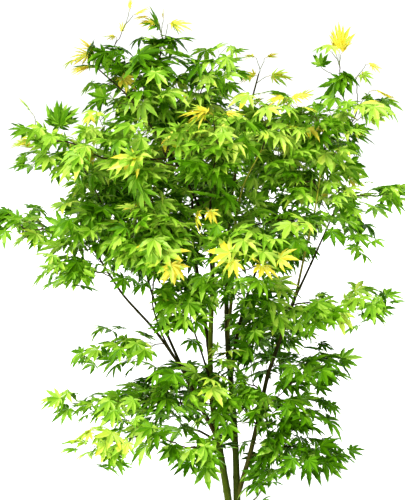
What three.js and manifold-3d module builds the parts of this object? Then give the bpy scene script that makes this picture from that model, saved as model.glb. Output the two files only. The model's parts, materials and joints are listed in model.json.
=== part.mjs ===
// A young Japanese maple, 1.5 m tall, rooted in level ground: a short trunk with a root flare, two slender
// stems that rise from it, the boughs that leave those stems, and the masses of foliage that they carry.
// Millimetres, +Z up. The origin is the middle of the flat cut at ground level, and the crown's wide side
// runs along X, with its front towards -Y.
import * as THREE from 'three';
import { mergeVertices } from 'three/addons/utils/BufferGeometryUtils.js';
import Module from 'manifold-3d';

const wasm = await Module();
wasm.setup();

// ---------------------------------------------------------------- driving dimensions

const FORK_HEIGHT = 125; // where the trunk ends and the two stems begin
const FORK_DEPTH = 13; // how far down into the trunk the stems reach before they are cut off
const FOOT_RADIUS = 24; // of the trunk itself, without its flare
const FORK_RADIUS = 20;
const FLARE = 15; // how far the root flare stands out at the ground
const FLARE_HEIGHT = 34; // the height over which the flare fades
const BUTTRESSES = 5; // root swellings round the foot
const BUTTRESS_DEPTH = 0.13; // how much they stand out, as a share of the radius

const TRUNK_SIDES = 15;
const STEM_SIDES = 8;
const BOUGH_SIDES = 6;
const SEGMENT_LENGTH = 110; // the usual length of one straight facet along a limb
const MERGE_DISTANCE = 1e-3;
const GAP = 0.35; // between pieces that touch
const SEAT = 12; // how deep a bough's tip sits in the mass that it carries
const ENTRY_STEP = 0.002; // the share of a limb's length at which its entry into a mass is felt for
const ENTRY_START = 0.3; // a limb passes the masses round its foot, so the search starts above them

const UNEVEN = 0.09; // how far a mass's surface swells and dips, as a share of its half size
const LARGE_LOBE = 150; // lobes with at least this half width get more facets

const BARK = { green: 0x566118, brown: 0x4b3a28 };
const TINT = { deep: 0x2f6b1a, green: 0x4f9426, lime: 0x8cc42e, young: 0xd3cf3a };
const BARK_ROUGHNESS = 0.7;
const LEAF_ROUGHNESS = 0.6;

// ---------------------------------------------------------------- the tree's plan

// The trunk and the two stems: each passes its waypoints, and its radius tapers from the first to the second.
// A stem ends in the mass that it is named to enter.
const STEMS = [
  {
    name: 'trunk', radius: [FOOT_RADIUS, FORK_RADIUS],
    via: [[0, 0, 0], [0, 0, 45], [-3, 2, FORK_HEIGHT]],
  },
  {
    name: 'stem_left', radius: [9.6, 2], into: 'crown_upper_left',
    via: [[-10, -4, FORK_HEIGHT - FORK_DEPTH], [-18, -6, 240], [-48, -10, 405], [-64, -10, 525],
      [-64, -8, 650], [-60, -4, 770], [-54, 2, 930], [-50, 20, 1080], [-95, 50, 1250]],
  },
  {
    name: 'stem_middle', radius: [9.4, 1.6], into: 'top_blades',
    via: [[9, 4, FORK_HEIGHT - FORK_DEPTH], [4, 6, 240], [0, 10, 385], [-8, 14, 500], [-20, 20, 620],
      [-24, 24, 730], [-20, 30, 895], [-8, 38, 1030], [22, 40, 1180], [58, 40, 1320]],
  },
];

// Each bough leaves its parent at a height, passes its waypoints and ends where it enters its mass.
const BOUGHS = [
  {
    name: 'right_limb', from: 'stem_middle', at: 235, radius: [6.2, 3.9],
    via: [[24, -4, 300], [45, -15, 390], [62, -20, 470], [76, -20, 550], [102, -25, 630], [134, -30, 720],
      [150, -30, 772]],
  },
  {
    name: 'right_upright_fork', from: 'right_limb', at: 766, radius: [3, 1.8], into: 'right_upper',
    via: [[160, -40, 840], [176, -46, 900], [194, -40, 985]],
  },
  {
    name: 'right_outer_fork', from: 'right_limb', at: 758, radius: [3, 1.8], into: 'right_middle',
    via: [[170, -16, 806], [198, 4, 862], [236, 26, 940]],
  },
  {
    name: 'left_limb', from: 'stem_left', at: 398, radius: [5.6, 4.4],
    via: [[-72, -18, 442], [-98, -22, 500], [-140, -22, 590]],
  },
  {
    name: 'left_long_fork', from: 'left_limb', at: 574, radius: [3.7, 2.2], into: 'left_middle',
    via: [[-188, -30, 662], [-232, -36, 708], [-285, -46, 772], [-332, -54, 835]],
  },
  {
    name: 'left_upright_fork', from: 'left_limb', at: 582, radius: [3.6, 2.4], into: 'back_middle_left',
    via: [[-188, 6, 695], [-218, 34, 775], [-240, 90, 850]],
  },
  {
    name: 'left_thin_fork', from: 'left_limb', at: 566, radius: [2.4, 1.6], into: 'middle_left',
    via: [[-180, -36, 655], [-208, -66, 712], [-204, -110, 790]],
  },
  {
    name: 'inner_left_bough', from: 'stem_left', at: 545, radius: [2.8, 1.9], into: 'hanging_left',
    via: [[-78, -24, 590], [-98, -56, 665]],
  },
  {
    name: 'crown_left_limb', from: 'stem_left', at: 890, radius: [3.9, 1.5], into: 'top_left_spray',
    via: [[-112, -30, 1032], [-150, -58, 1100], [-212, -78, 1192], [-256, -62, 1250], [-304, -22, 1296]],
  },
  {
    name: 'crown_right_limb', from: 'stem_middle', at: 640, radius: [4.6, 1.8], into: 'crown_right',
    via: [[-10, 10, 760], [-4, -8, 880], [0, -34, 1000], [26, -50, 1066], [70, -60, 1148]],
  },
  {
    name: 'lower_left_bough', from: 'stem_left', at: 382, radius: [3.4, 2.4], into: 'lower_left_tier',
    via: [[-82, -34, 416]],
  },
  {
    name: 'lower_right_bough', from: 'right_limb', at: 352, radius: [3, 2.2], into: 'lower_right_skirt',
    via: [[64, -22, 356]],
  },
  {
    name: 'front_bough', from: 'stem_left', at: 800, radius: [3.6, 2.2], into: 'crown_front',
    via: [[-66, -70, 880], [-66, -150, 990]],
  },
  {
    name: 'back_left_limb', from: 'stem_left', at: 600, radius: [5, 2.8], into: 'back_crown',
    via: [[-84, 70, 730], [-110, 150, 880], [-110, 200, 1020]],
  },
  {
    name: 'back_right_limb', from: 'stem_middle', at: 540, radius: [4.8, 2.8], into: 'back_middle_right',
    via: [[8, 90, 660], [46, 170, 770]],
  },
  {
    name: 'basal_shoot', from: 'stem_middle', at: 196, radius: [2.6, 1.8], into: 'basal_spray',
    via: [[34, -12, 226]],
  },
];

// A lobe of foliage by its middle and its half sizes across, through and up.
const lobe = (middle, half) => ({ middle: new THREE.Vector3(...middle), half: new THREE.Vector3(...half) });
const mass = (name, tint, ...lobes) => ({ name, tint, lobes });

const MASSES = [
  // the shoots that stand up out of the crown
  mass('top_left_spray', 'young', lobe([-372, 0, 1346], [60, 48, 42])),
  mass('top_left_shoots', 'lime', lobe([-270, 20, 1412], [40, 40, 80]), lobe([-192, 36, 1392], [66, 56, 68])),
  mass('top_centre', 'green', lobe([-36, -24, 1326], [66, 66, 66])),
  mass('top_blades', 'young', lobe([66, 40, 1330], [68, 62, 34])),
  mass('top_right_spray', 'lime', lobe([236, 0, 1345], [50, 50, 88])),
  mass('right_shoulder', 'lime', lobe([326, 26, 1258], [66, 74, 106])),
  // the crown's upper layer
  mass('crown_upper_left', 'green', lobe([-232, 6, 1268], [128, 116, 90]),
    lobe([-108, 50, 1262], [92, 104, 86])),
  mass('left_outer', 'green', lobe([-466, -34, 1132], [82, 90, 116])),
  mass('left_shoulder', 'lime', lobe([-342, -80, 1126], [96, 104, 104])),
  mass('crown_front_left', 'lime', lobe([-206, -186, 1126], [112, 104, 112])),
  mass('crown_front', 'lime', lobe([-60, -240, 1134], [106, 104, 118])),
  mass('crown_middle', 'deep', lobe([-126, -66, 1088], [124, 104, 108])),
  mass('crown_right', 'green', lobe([86, -34, 1196], [104, 114, 88])),
  mass('right_upper', 'green', lobe([222, 0, 1168], [104, 116, 110])),
  // the crown's lower layer
  mass('right_middle', 'green', lobe([260, 44, 1018], [112, 114, 80]), lobe([388, 48, 1010], [66, 58, 52])),
  mass('right_front', 'green', lobe([172, -176, 946], [98, 104, 88])),
  mass('right_droop', 'deep', lobe([306, 10, 906], [58, 74, 86])),
  mass('left_middle', 'green', lobe([-362, -56, 952], [106, 108, 86]), lobe([-510, -22, 938], [90, 76, 68])),
  mass('left_low', 'green', lobe([-396, -100, 842], [110, 94, 66])),
  mass('middle_left', 'green', lobe([-190, -166, 926], [120, 108, 104])),
  mass('centre_front', 'lime', lobe([18, -266, 896], [116, 100, 84])),
  mass('centre', 'deep', lobe([4, -76, 968], [124, 116, 84]), lobe([100, 60, 1034], [104, 104, 92])),
  // what hangs under the crown
  mass('hanging_left', 'lime', lobe([-136, -112, 752], [78, 84, 96])),
  mass('under_crown', 'deep', lobe([44, -70, 744], [106, 112, 94]), lobe([180, -96, 740], [96, 106, 74])),
  mass('right_low_tip', 'green', lobe([322, -36, 734], [84, 64, 62])),
  // the lower tiers round the stems
  mass('lower_left_upper', 'green', lobe([-272, -56, 626], [104, 100, 74])),
  mass('lower_left_inner', 'deep', lobe([-136, -102, 566], [80, 72, 70])),
  mass('lower_left_tier', 'green', lobe([-212, -60, 474], [150, 138, 72]),
    lobe([-392, -66, 490], [88, 84, 54]), lobe([-112, -92, 398], [92, 80, 58])),
  mass('lower_left_skirt', 'lime', lobe([-330, -108, 396], [74, 70, 60])),
  mass('stem_leaves', 'green', lobe([-22, -84, 536], [60, 56, 96])),
  mass('lower_right_upper', 'deep', lobe([76, -34, 582], [78, 92, 90]), lobe([190, -44, 590], [94, 106, 76])),
  mass('lower_right_middle', 'deep', lobe([114, -50, 474], [120, 120, 70])),
  mass('lower_right_skirt', 'deep', lobe([162, -40, 366], [130, 126, 60])),
  mass('basal_spray', 'green', lobe([78, -36, 262], [52, 50, 50])),
  // the back of the crown
  mass('back_crown', 'green', lobe([-100, 226, 1178], [160, 136, 116]),
    lobe([-50, 352, 1034], [142, 110, 112])),
  mass('back_left', 'green', lobe([-312, 150, 1046], [136, 140, 118])),
  mass('back_right', 'green', lobe([156, 218, 1106], [140, 132, 116])),
  mass('back_middle_left', 'deep', lobe([-218, 214, 886], [142, 134, 92])),
  mass('back_middle_right', 'deep', lobe([100, 236, 886], [146, 140, 100])),
  mass('back_lower', 'deep', lobe([84, 146, 624], [124, 110, 104])),
  mass('back_lower_left', 'deep', lobe([-164, 120, 500], [124, 106, 74])),
];

// ---------------------------------------------------------------- solids

// A closed three.js geometry as a solid that can be joined and cut.
function solidOf(geometry) {
  const bare = geometry.clone();
  bare.deleteAttribute('normal');
  bare.deleteAttribute('uv');
  const merged = mergeVertices(bare, MERGE_DISTANCE);
  return new wasm.Manifold(new wasm.Mesh({
    numProp: 3,
    vertProperties: new Float32Array(merged.attributes.position.array),
    triVerts: new Uint32Array(merged.index.array),
  }));
}

// A solid as a three.js geometry with flat facets.
function geometryOf(solid) {
  const mesh = solid.getMesh();
  const indexed = new THREE.BufferGeometry()
    .setAttribute('position', new THREE.BufferAttribute(new Float32Array(mesh.vertProperties), 3))
    .setIndex(new THREE.BufferAttribute(new Uint32Array(mesh.triVerts), 1));
  const faceted = indexed.toNonIndexed();
  faceted.computeVertexNormals();
  return faceted;
}

// The largest separate piece of a solid: a cut may leave a chip beyond what it cuts.
function largestPiece(solid) {
  return solid.decompose().reduce((best, piece) => (piece.volume() > best.volume() ? piece : best));
}

// ---------------------------------------------------------------- trunk, stems and boughs

// Where a rising curve passes a height, found by halving.
function pointAtHeight(curve, height) {
  const halvings = 30;
  let [low, high] = [0, 1];
  for (let i = 0; i < halvings; i += 1) {
    const middle = (low + high) / 2;
    if (curve.getPointAt(middle).z < height) low = middle;
    else high = middle;
  }
  return curve.getPointAt(low);
}

// The share of a curve's length at which it enters one of a mass's lobes.
function entryOf(curve, target) {
  for (let share = ENTRY_START; share < 1; share += ENTRY_STEP) {
    const point = curve.getPointAt(share);
    if (target.lobes.some((one) => depthIn(point, one) < 1)) return share;
  }
  return 1;
}

// A bent, tapering cylinder along a limb's curve, from its start to its reach.
function limbSolid({ curve, reach, radius, sides, flared }, grow) {
  const segments = Math.max(2, Math.round((curve.getLength() * reach) / SEGMENT_LENGTH));
  const geometry = new THREE.CylinderGeometry(1, 1, 1, sides, segments);
  const position = geometry.attributes.position;
  const frames = curve.computeFrenetFrames(segments);
  for (let i = 0; i < position.count; i += 1) {
    const ring = Math.round((position.getY(i) + 0.5) * segments);
    const share = ring / segments;
    const point = curve.getPointAt(share * reach);
    const round = Math.atan2(position.getZ(i), position.getX(i));
    const fade = flared ? Math.exp(-point.z / FLARE_HEIGHT) : 0;
    const swell = 1 + BUTTRESS_DEPTH * fade * Math.cos(BUTTRESSES * round);
    const wide = (THREE.MathUtils.lerp(...radius, share) + FLARE * fade) * swell + grow;
    point.addScaledVector(frames.binormals[ring], position.getX(i) * wide);
    point.addScaledVector(frames.normals[ring], position.getZ(i) * wide);
    position.setXYZ(i, point.x, point.y, point.z);
  }
  return solidOf(geometry);
}

// Gives each limb its curve, how far along it the limb reaches, and its number of sides.
function layOutLimbs() {
  const laid = new Map();
  for (const plan of [...STEMS, ...BOUGHS]) {
    const target = MASSES.find(({ name }) => name === plan.into);
    const points = plan.via.map((point) => new THREE.Vector3(...point));
    if (plan.from) points.unshift(pointAtHeight(laid.get(plan.from).curve, plan.at));
    if (plan.from && target) points.push(target.lobes[0].middle);
    const curve = new THREE.CatmullRomCurve3(points);
    const reach = target ? Math.min(1, entryOf(curve, target) + SEAT / curve.getLength()) : 1;
    const flared = plan.name === 'trunk';
    const slender = plan.from ? BOUGH_SIDES : STEM_SIDES;
    laid.set(plan.name, { ...plan, curve, reach, flared, sides: flared ? TRUNK_SIDES : slender });
  }
  return laid;
}

// Every limb as a solid, cut back where it meets the ones before it, and each grown by the gap as a cutter.
function buildLimbs() {
  const solids = new Map();
  const cutters = [];
  for (const limb of layOutLimbs().values()) {
    const cut = cutters.reduce((solid, cutter) => solid.subtract(cutter), limbSolid(limb, 0));
    solids.set(limb.name, largestPiece(cut));
    cutters.push(limbSolid(limb, GAP));
  }
  return { solids, cutters };
}

// ---------------------------------------------------------------- masses of foliage

// How far a lobe's surface swells or dips in a direction, from -1 to 1. Each lobe has its own phase.
function ripple({ x, y, z }, { middle }) {
  const phase = 0.37 * middle.x + 0.71 * middle.y + 0.13 * middle.z;
  const broad = Math.sin(4.1 * x + phase) * Math.cos(3.3 * y + 2 * phase);
  const fine = Math.sin(6.1 * z + 2.2 * x + 3 * phase);
  return 0.62 * broad + 0.38 * fine;
}

// How far out a lobe's uneven surface lies in a direction, as a share of its half sizes.
const swellOf = (direction, one) => 1 + UNEVEN * ripple(direction, one);

// Where a point lies in a lobe: 0 at its middle, 1 on its surface.
function depthIn(point, one) {
  const scaled = point.clone().sub(one.middle).divide(one.half);
  return scaled.length() / swellOf(scaled.clone().normalize(), one);
}

// One lobe as an uneven, closed ellipsoid.
function lobeSolid(one) {
  const geometry = new THREE.IcosahedronGeometry(1, one.half.x < LARGE_LOBE ? 1 : 2);
  const position = geometry.attributes.position;
  for (let i = 0; i < position.count; i += 1) {
    const direction = new THREE.Vector3().fromBufferAttribute(position, i).normalize();
    const point = direction.clone().multiply(one.half).multiplyScalar(swellOf(direction, one));
    point.add(one.middle);
    position.setXYZ(i, point.x, point.y, point.z);
  }
  return solidOf(geometry);
}

// The plane that parts two lobes, through the point between them that lies as deep in one as in the other.
function partingPlane(a, b) {
  const line = b.middle.clone().sub(a.middle);
  const reachOf = (one) => line.clone().divide(one.half).length();
  const slopeOf = (one) => line.clone().divide(one.half).divide(one.half);
  const share = reachOf(b) / (reachOf(a) + reachOf(b));
  const normal = slopeOf(a).add(slopeOf(b)).normalize();
  const point = a.middle.clone().addScaledVector(line, share);
  return { normal, offset: normal.dot(point) };
}

// Cuts two overlapping pieces apart along their lobes' parting plane.
function partPieces(first, second) {
  const { normal, offset } = partingPlane(first.lobe, second.lobe);
  first.solid = first.solid.trimByPlane(normal.clone().negate().toArray(), GAP / 2 - offset);
  second.solid = second.solid.trimByPlane(normal.toArray(), offset + GAP / 2);
}

// Every mass as a solid: its lobes parted from its neighbours' and joined, then cut round the limbs in it.
function buildMasses(cutters) {
  const pieces = MASSES.flatMap((owner) => (
    owner.lobes.map((one) => ({ owner, lobe: one, whole: lobeSolid(one) }))
  ));
  pieces.forEach((piece) => Object.assign(piece, { solid: piece.whole }));
  pieces.forEach((first, i) => pieces.slice(i + 1).forEach((second) => {
    const joined = first.owner === second.owner;
    if (!joined && !first.whole.intersect(second.whole).isEmpty()) partPieces(first, second);
  }));
  return new Map(MASSES.map((owner) => {
    const own = pieces.filter((piece) => piece.owner === owner).map((piece) => piece.solid);
    const joined = own.reduce((solid, next) => solid.add(next));
    return [owner.name, largestPiece(cutters.reduce((solid, cutter) => solid.subtract(cutter), joined))];
  }));
}

// ---------------------------------------------------------------- the tree

const finish = (color, roughness) => new THREE.MeshStandardMaterial({ color, roughness, metalness: 0 });
const barkOf = { stem: finish(BARK.green, BARK_ROUGHNESS), bough: finish(BARK.brown, BARK_ROUGHNESS) };
const leavesOf = new Map(Object.entries(TINT).map(([tint, color]) => [tint, finish(color, LEAF_ROUGHNESS)]));

const tree = new THREE.Group();
tree.name = 'japanese_maple';

function addNode(name, solid, material) {
  const mesh = new THREE.Mesh(geometryOf(solid), material);
  mesh.name = name;
  tree.add(mesh);
}

const limbs = buildLimbs();
const masses = buildMasses(limbs.cutters);
STEMS.forEach(({ name }) => addNode(name, limbs.solids.get(name), barkOf.stem));
BOUGHS.forEach(({ name }) => addNode(name, limbs.solids.get(name), barkOf.bough));
MASSES.forEach(({ name, tint }) => addNode(name, masses.get(name), leavesOf.get(tint)));

export default tree;
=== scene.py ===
"""The looks of a young Japanese maple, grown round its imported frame.

The frame holds the trunk, the stems, the boughs and the masses of foliage as plain solids. Here every limb
is redrawn with bark along the line that its solid follows, twigs are grown from the limbs into each mass by
a seeded rule, and leaves are hung on the twigs in opposite pairs. Metres, +Z up, the front towards -Y.
"""

import json
import logging
import math
from dataclasses import dataclass
from enum import Enum

import bmesh
import bpy
import numpy as np
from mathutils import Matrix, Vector, noise
from mathutils.bvhtree import BVHTree

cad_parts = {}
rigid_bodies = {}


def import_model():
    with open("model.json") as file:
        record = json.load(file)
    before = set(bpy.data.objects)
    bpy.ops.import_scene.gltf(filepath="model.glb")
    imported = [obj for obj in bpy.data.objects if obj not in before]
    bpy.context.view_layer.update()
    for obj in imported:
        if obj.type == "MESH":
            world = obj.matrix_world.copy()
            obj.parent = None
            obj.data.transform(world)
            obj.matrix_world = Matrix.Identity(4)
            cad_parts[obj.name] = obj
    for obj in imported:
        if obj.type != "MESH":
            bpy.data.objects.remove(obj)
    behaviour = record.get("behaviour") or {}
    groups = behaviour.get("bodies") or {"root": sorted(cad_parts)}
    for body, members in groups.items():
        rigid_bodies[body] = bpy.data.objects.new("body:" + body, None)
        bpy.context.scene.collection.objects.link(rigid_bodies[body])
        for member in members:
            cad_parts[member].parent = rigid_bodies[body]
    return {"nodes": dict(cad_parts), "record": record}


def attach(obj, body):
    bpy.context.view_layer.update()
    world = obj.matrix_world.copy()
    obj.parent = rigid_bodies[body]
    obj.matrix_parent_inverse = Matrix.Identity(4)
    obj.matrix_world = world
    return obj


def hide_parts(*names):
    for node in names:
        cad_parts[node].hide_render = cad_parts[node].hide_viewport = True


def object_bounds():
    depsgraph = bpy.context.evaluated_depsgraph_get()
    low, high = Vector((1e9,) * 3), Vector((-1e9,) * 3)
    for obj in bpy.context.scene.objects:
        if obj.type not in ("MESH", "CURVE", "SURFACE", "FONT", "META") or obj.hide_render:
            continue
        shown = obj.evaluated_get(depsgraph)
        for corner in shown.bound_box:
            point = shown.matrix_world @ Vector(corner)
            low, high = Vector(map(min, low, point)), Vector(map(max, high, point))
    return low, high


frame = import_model()
CAD_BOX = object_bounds()
LOG = logging.getLogger("japanese_maple")
SEED = 3
BODY = "root"
UP = np.array([0.0, 0.0, 1.0])
ASKEW = np.array([0.3, 1.0, 0.2])  # no limb starts out this way
TILTED = UP + [0.2, 0.1, 0.0]  # no straight twig runs this way
TINY = 1e-6  # keeps a length from being nought
LEAF_ROUGHNESS = 0.42
UNDER, OVER, MIXED = 6, 7, 2  # a mix node's sockets for colours
GRAIN = "grain"  # the mesh attribute that holds a place along and round a limb, in metres


# ---------------------------------------------------------------- small helpers


def unit(vectors: np.ndarray) -> np.ndarray:
    """Scale vectors to length one.

    Args:
        vectors: One vector, or many along the last axis.

    Returns:
        The same directions, each of length one.
    """
    length = np.linalg.norm(vectors, axis=-1, keepdims=True)
    return vectors / np.maximum(length, 1e-12)


def linear(code: str) -> tuple[float, float, float, float]:
    """Turn a display colour into the scene's linear light.

    Args:
        code: Six hexadecimal digits, red first.

    Returns:
        The linear colour with an alpha of one.
    """
    shares = [int(code[i : i + 2], 16) / 255 for i in (0, 2, 4)]
    red, green, blue = (s / 12.92 if s <= 0.04045 else ((s + 0.055) / 1.055) ** 2.4 for s in shares)
    return red, green, blue, 1.0


def triangles_of(node: str) -> np.ndarray:
    """Read a node's surface.

    Args:
        node: The name of a node of the frame.

    Returns:
        Its triangles, as an array of three corners each.
    """
    mesh = frame["nodes"][node].data
    mesh.calc_loop_triangles()
    places = np.empty(len(mesh.vertices) * 3)
    mesh.vertices.foreach_get("co", places)
    corners = np.empty(len(mesh.loop_triangles) * 3, int)
    mesh.loop_triangles.foreach_get("vertices", corners)
    return places.reshape(-1, 3)[corners.reshape(-1, 3)]


def solid_of(triangles: np.ndarray) -> BVHTree:
    """Make a surface ready to be felt.

    Args:
        triangles: The surface's triangles, as an array of three corners each.

    Returns:
        The tree that finds places on it.
    """
    corners = [Vector(corner) for corner in triangles.reshape(-1, 3)]
    return BVHTree.FromPolygons(corners, np.arange(len(corners)).reshape(-1, 3).tolist())


def make_piece(
    name: str,
    vertices: np.ndarray,
    faces: np.ndarray,
    materials: list[bpy.types.Material],
    choice: np.ndarray,
) -> bpy.types.Object:
    """Make one object from arrays of triangles.

    Args:
        name: The piece's name.
        vertices: Its places, one row each.
        faces: Its triangles, one row of vertex numbers each.
        materials: Its materials.
        choice: Each triangle's material, as a number in that list.

    Returns:
        The object, in the scene and with smooth shading.
    """
    mesh = bpy.data.meshes.new(name)
    mesh.vertices.add(len(vertices))
    mesh.vertices.foreach_set("co", vertices.astype(np.float32).ravel())
    mesh.loops.add(faces.size)
    mesh.loops.foreach_set("vertex_index", faces.astype(np.int32).ravel())
    mesh.polygons.add(len(faces))
    mesh.polygons.foreach_set("loop_start", np.arange(0, faces.size, 3, dtype=np.int32))
    for material in materials:
        mesh.materials.append(material)
    mesh.polygons.foreach_set("material_index", choice.astype(np.int32))
    mesh.polygons.foreach_set("use_smooth", np.ones(len(faces), bool))
    mesh.update(calc_edges=True)
    mesh.validate()
    piece = bpy.data.objects.new(name, mesh)
    bpy.context.scene.collection.objects.link(piece)
    return piece


def circle(sides: int) -> np.ndarray:
    """Give evenly spaced turns round a full circle, in radians."""
    return np.arange(sides) * math.tau / sides


def look_up(distances: np.ndarray, along: np.ndarray, places: np.ndarray) -> np.ndarray:
    """Look up the places at distances along a line, given how far along its own places are."""
    return np.stack([np.interp(distances, along, places[:, axis]) for axis in range(3)], axis=1)


def curve(
    start: np.ndarray, leave: np.ndarray, end: np.ndarray, arrive: np.ndarray, points: int
) -> np.ndarray:
    """Draw a smooth line from one place to another.

    Args:
        start: Where it starts.
        leave: Its speed as it leaves.
        end: Where it ends.
        arrive: Its speed as it arrives.
        points: How many points it has.

    Returns:
        Its points, one row each.
    """
    t = np.linspace(0, 1, points)[:, None]
    from_start = (2 * t**3 - 3 * t**2 + 1) * start + (t**3 - 2 * t**2 + t) * leave
    return from_start + (3 * t**2 - 2 * t**3) * end + (t**3 - t**2) * arrive


def tube_faces(rings: int, sides: int) -> np.ndarray:
    """Number the triangles between the rings of one tube.

    Args:
        rings: How many rings it has.
        sides: How many vertices a ring has.

    Returns:
        The triangles, with their faces outwards.
    """
    ring, side = np.meshgrid(np.arange(rings - 1) * sides, np.arange(sides), indexing="ij")
    here, beside = ring + side, ring + (side + 1) % sides
    low = np.stack([here, beside, beside + sides], axis=-1)
    high = np.stack([here, beside + sides, here + sides], axis=-1)
    return np.concatenate([low.reshape(-1, 3), high.reshape(-1, 3)])


def sweep(
    lines: np.ndarray, radii: np.ndarray, sides: int, across: np.ndarray
) -> tuple[np.ndarray, np.ndarray]:
    """Draw tubes along many lines at once.

    Args:
        lines: Lines of equally many points each.
        radii: The tubes' radius at each point.
        sides: How many sides a tube has.
        across: For each line, a direction that it never runs along.

    Returns:
        The tubes' vertices, and their triangles.
    """
    headings = unit(np.gradient(lines, axis=1))
    first = unit(np.cross(headings, across[:, None, :]))
    second = np.cross(headings, first)
    turns = circle(sides)
    rings = first[:, :, None] * np.cos(turns)[:, None] + second[:, :, None] * np.sin(turns)[:, None]
    vertices = lines[:, :, None] + rings * radii[:, :, None, None]
    pattern = tube_faces(lines.shape[1], sides)
    starts = np.arange(len(lines)) * lines.shape[1] * sides
    return vertices.reshape(-1, 3), (starts[:, None, None] + pattern).reshape(-1, 3)


# ---------------------------------------------------------------- the limbs' lines


@dataclass
class LimbLine:
    """A limb's middle line and its thickness, from its foot to its tip.

    Attributes:
        name: The limb's node.
        places: Points along the line.
        radii: The limb's radius at each point.
    """

    name: str
    places: np.ndarray
    radii: np.ndarray

    @property
    def along(self) -> np.ndarray:
        """Give the distance of each point from the limb's foot."""
        steps = np.linalg.norm(np.diff(self.places, axis=0), axis=1)
        return np.concatenate([[0.0], np.cumsum(steps)])

    def at(self, distances: np.ndarray) -> tuple[np.ndarray, np.ndarray]:
        """Look up the line at distances from its foot.

        Args:
            distances: How far along to look.

        Returns:
            The places there, and the radii.
        """
        along = self.along
        return look_up(distances, along, self.places), np.interp(distances, along, self.radii)


@dataclass
class LimbReader:
    """Finds a limb's middle line by walking down its solid and weighing one cross-section after another.

    Attributes:
        step: The distance between two cross-sections.
        reach: How far from the middle a cross-section may reach.
        patch: How near a triangle has to be to be cut.
        softening: The length over which bends are rounded off.
        clearance: How near the carrier's bark the walk ends.
        deepest: How far the line may be led on to its carrier's middle.
        lead_points: How many points that stretch has.
        fewest_cuts: How many triangles a cross-section cuts at least.
        touch: How near a corner has to be to a place to be the same.
        flatness: How far from a plane a triangle may lie and still be in it.
        first_step: The distance from the tip to the first cross-section.
        least_softening: The softening at the very ends.
    """

    step: float = 0.008
    reach: float = 0.03
    patch: float = 0.16
    softening: float = 0.022
    clearance: float = 0.004
    deepest: float = 0.07
    lead_points: int = 5
    fewest_cuts: int = 4
    touch: float = 0.00001
    flatness: float = 0.0001
    first_step: float = 0.001
    least_softening: float = 0.0001

    def read(self, node: str, carrier: LimbLine) -> LimbLine:
        """Read one limb.

        Args:
            node: The limb's node.
            carrier: The line of the limb that it grows from.

        Returns:
            The limb's line, softened, and led back into its carrier.
        """
        triangles = triangles_of(node)
        start, heading = self._tip(triangles, carrier)
        places, radii = self._walk(triangles, start, heading, carrier)
        line = LimbLine(node, places[::-1], radii[::-1])
        return self._rooted(self._soften(line), carrier)

    def _tip(self, triangles: np.ndarray, carrier: LimbLine) -> tuple[np.ndarray, np.ndarray]:
        """Find the flat end that is furthest from the carrier, and the way in from it.

        Args:
            triangles: The solid's triangles.
            carrier: The line of the limb that it grows from.

        Returns:
            The end's middle, and the way from it into the solid.
        """
        corners = triangles.reshape(-1, 3)
        apart = np.linalg.norm(corners[:, None] - carrier.places[None], axis=2).min(axis=1)
        end = corners[np.argmax(apart)]
        outward = unit(end - corners[apart < np.median(apart)].mean(axis=0))
        normals = unit(np.cross(triangles[:, 1] - triangles[:, 0], triangles[:, 2] - triangles[:, 0]))
        touching = (np.linalg.norm(triangles - end, axis=2) < self.touch).any(axis=1)
        facing = normals[np.argmax(np.where(touching, normals @ outward, -1.0))]
        flat = (np.abs((triangles - end) @ facing) < self.flatness).all(axis=1)
        return np.unique(triangles[flat].reshape(-1, 3).round(5), axis=0).mean(axis=0), -facing

    def _walk(
        self, triangles: np.ndarray, place: np.ndarray, heading: np.ndarray, carrier: LimbLine
    ) -> tuple[np.ndarray, np.ndarray]:
        """Step through the solid from its tip until it meets its carrier.

        Args:
            triangles: The solid's triangles.
            place: Where the walk starts.
            heading: The way in.
            carrier: The line of the limb to be met.

        Returns:
            The middles of the cross-sections from tip to foot, and their radii.
        """
        places, radii = [], []
        while True:
            step = self.step if places else self.first_step
            found = self._section(triangles, place + heading * step, heading)
            if found is None:
                break
            place_before, (place, radius) = place, found
            apart = np.linalg.norm(carrier.places - place, axis=1)
            if apart.min() < carrier.radii[apart.argmin()] + self.clearance:
                break
            if places:
                heading = unit(heading + unit(place - place_before))
            places.append(place)
            radii.append(radius)
        return np.array(places), np.array(radii)

    def _section(
        self, triangles: np.ndarray, place: np.ndarray, normal: np.ndarray
    ) -> tuple[np.ndarray, float] | None:
        """Cut the solid with a plane and give the cut's middle and mean radius.

        Args:
            triangles: The solid's triangles.
            place: A place in the plane.
            normal: The plane's normal.

        Returns:
            The cut's middle and its radius, or nothing where too little is cut.
        """
        near = triangles[np.linalg.norm(triangles - place, axis=2).min(axis=1) < self.patch]
        side = (near - place) @ normal
        segments = []
        for corners, sides in zip(near, side):
            ends = [
                corners[a] + (corners[b] - corners[a]) * sides[a] / (sides[a] - sides[b])
                for a, b in ((0, 1), (1, 2), (2, 0))
                if sides[a] * sides[b] < 0
            ]
            if len(ends) == 2 and np.linalg.norm(ends[0] - place) < self.reach:
                segments.append(ends)
        if len(segments) < self.fewest_cuts:
            return None
        ends = np.array(segments)
        lengths = np.linalg.norm(ends[:, 0] - ends[:, 1], axis=1)
        middle = (ends.mean(axis=1) * lengths[:, None]).sum(axis=0) / lengths.sum()
        return middle, lengths.sum() / math.tau

    def _soften(self, line: LimbLine) -> LimbLine:
        """Round off the bends between the solid's straight facets, with both ends kept in place.

        Args:
            line: The line as read.

        Returns:
            The line with its bends rounded off.
        """
        along = line.along
        apart = along[:, None] - along[None, :]
        to_end = np.minimum(along, along[-1] - along)
        width = np.minimum(self.softening, to_end / 2 + self.least_softening)
        weights = np.exp(-0.5 * (apart / width[:, None]) ** 2)
        weights /= weights.sum(axis=1, keepdims=True)
        return LimbLine(line.name, weights @ line.places, weights @ line.radii)

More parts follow.
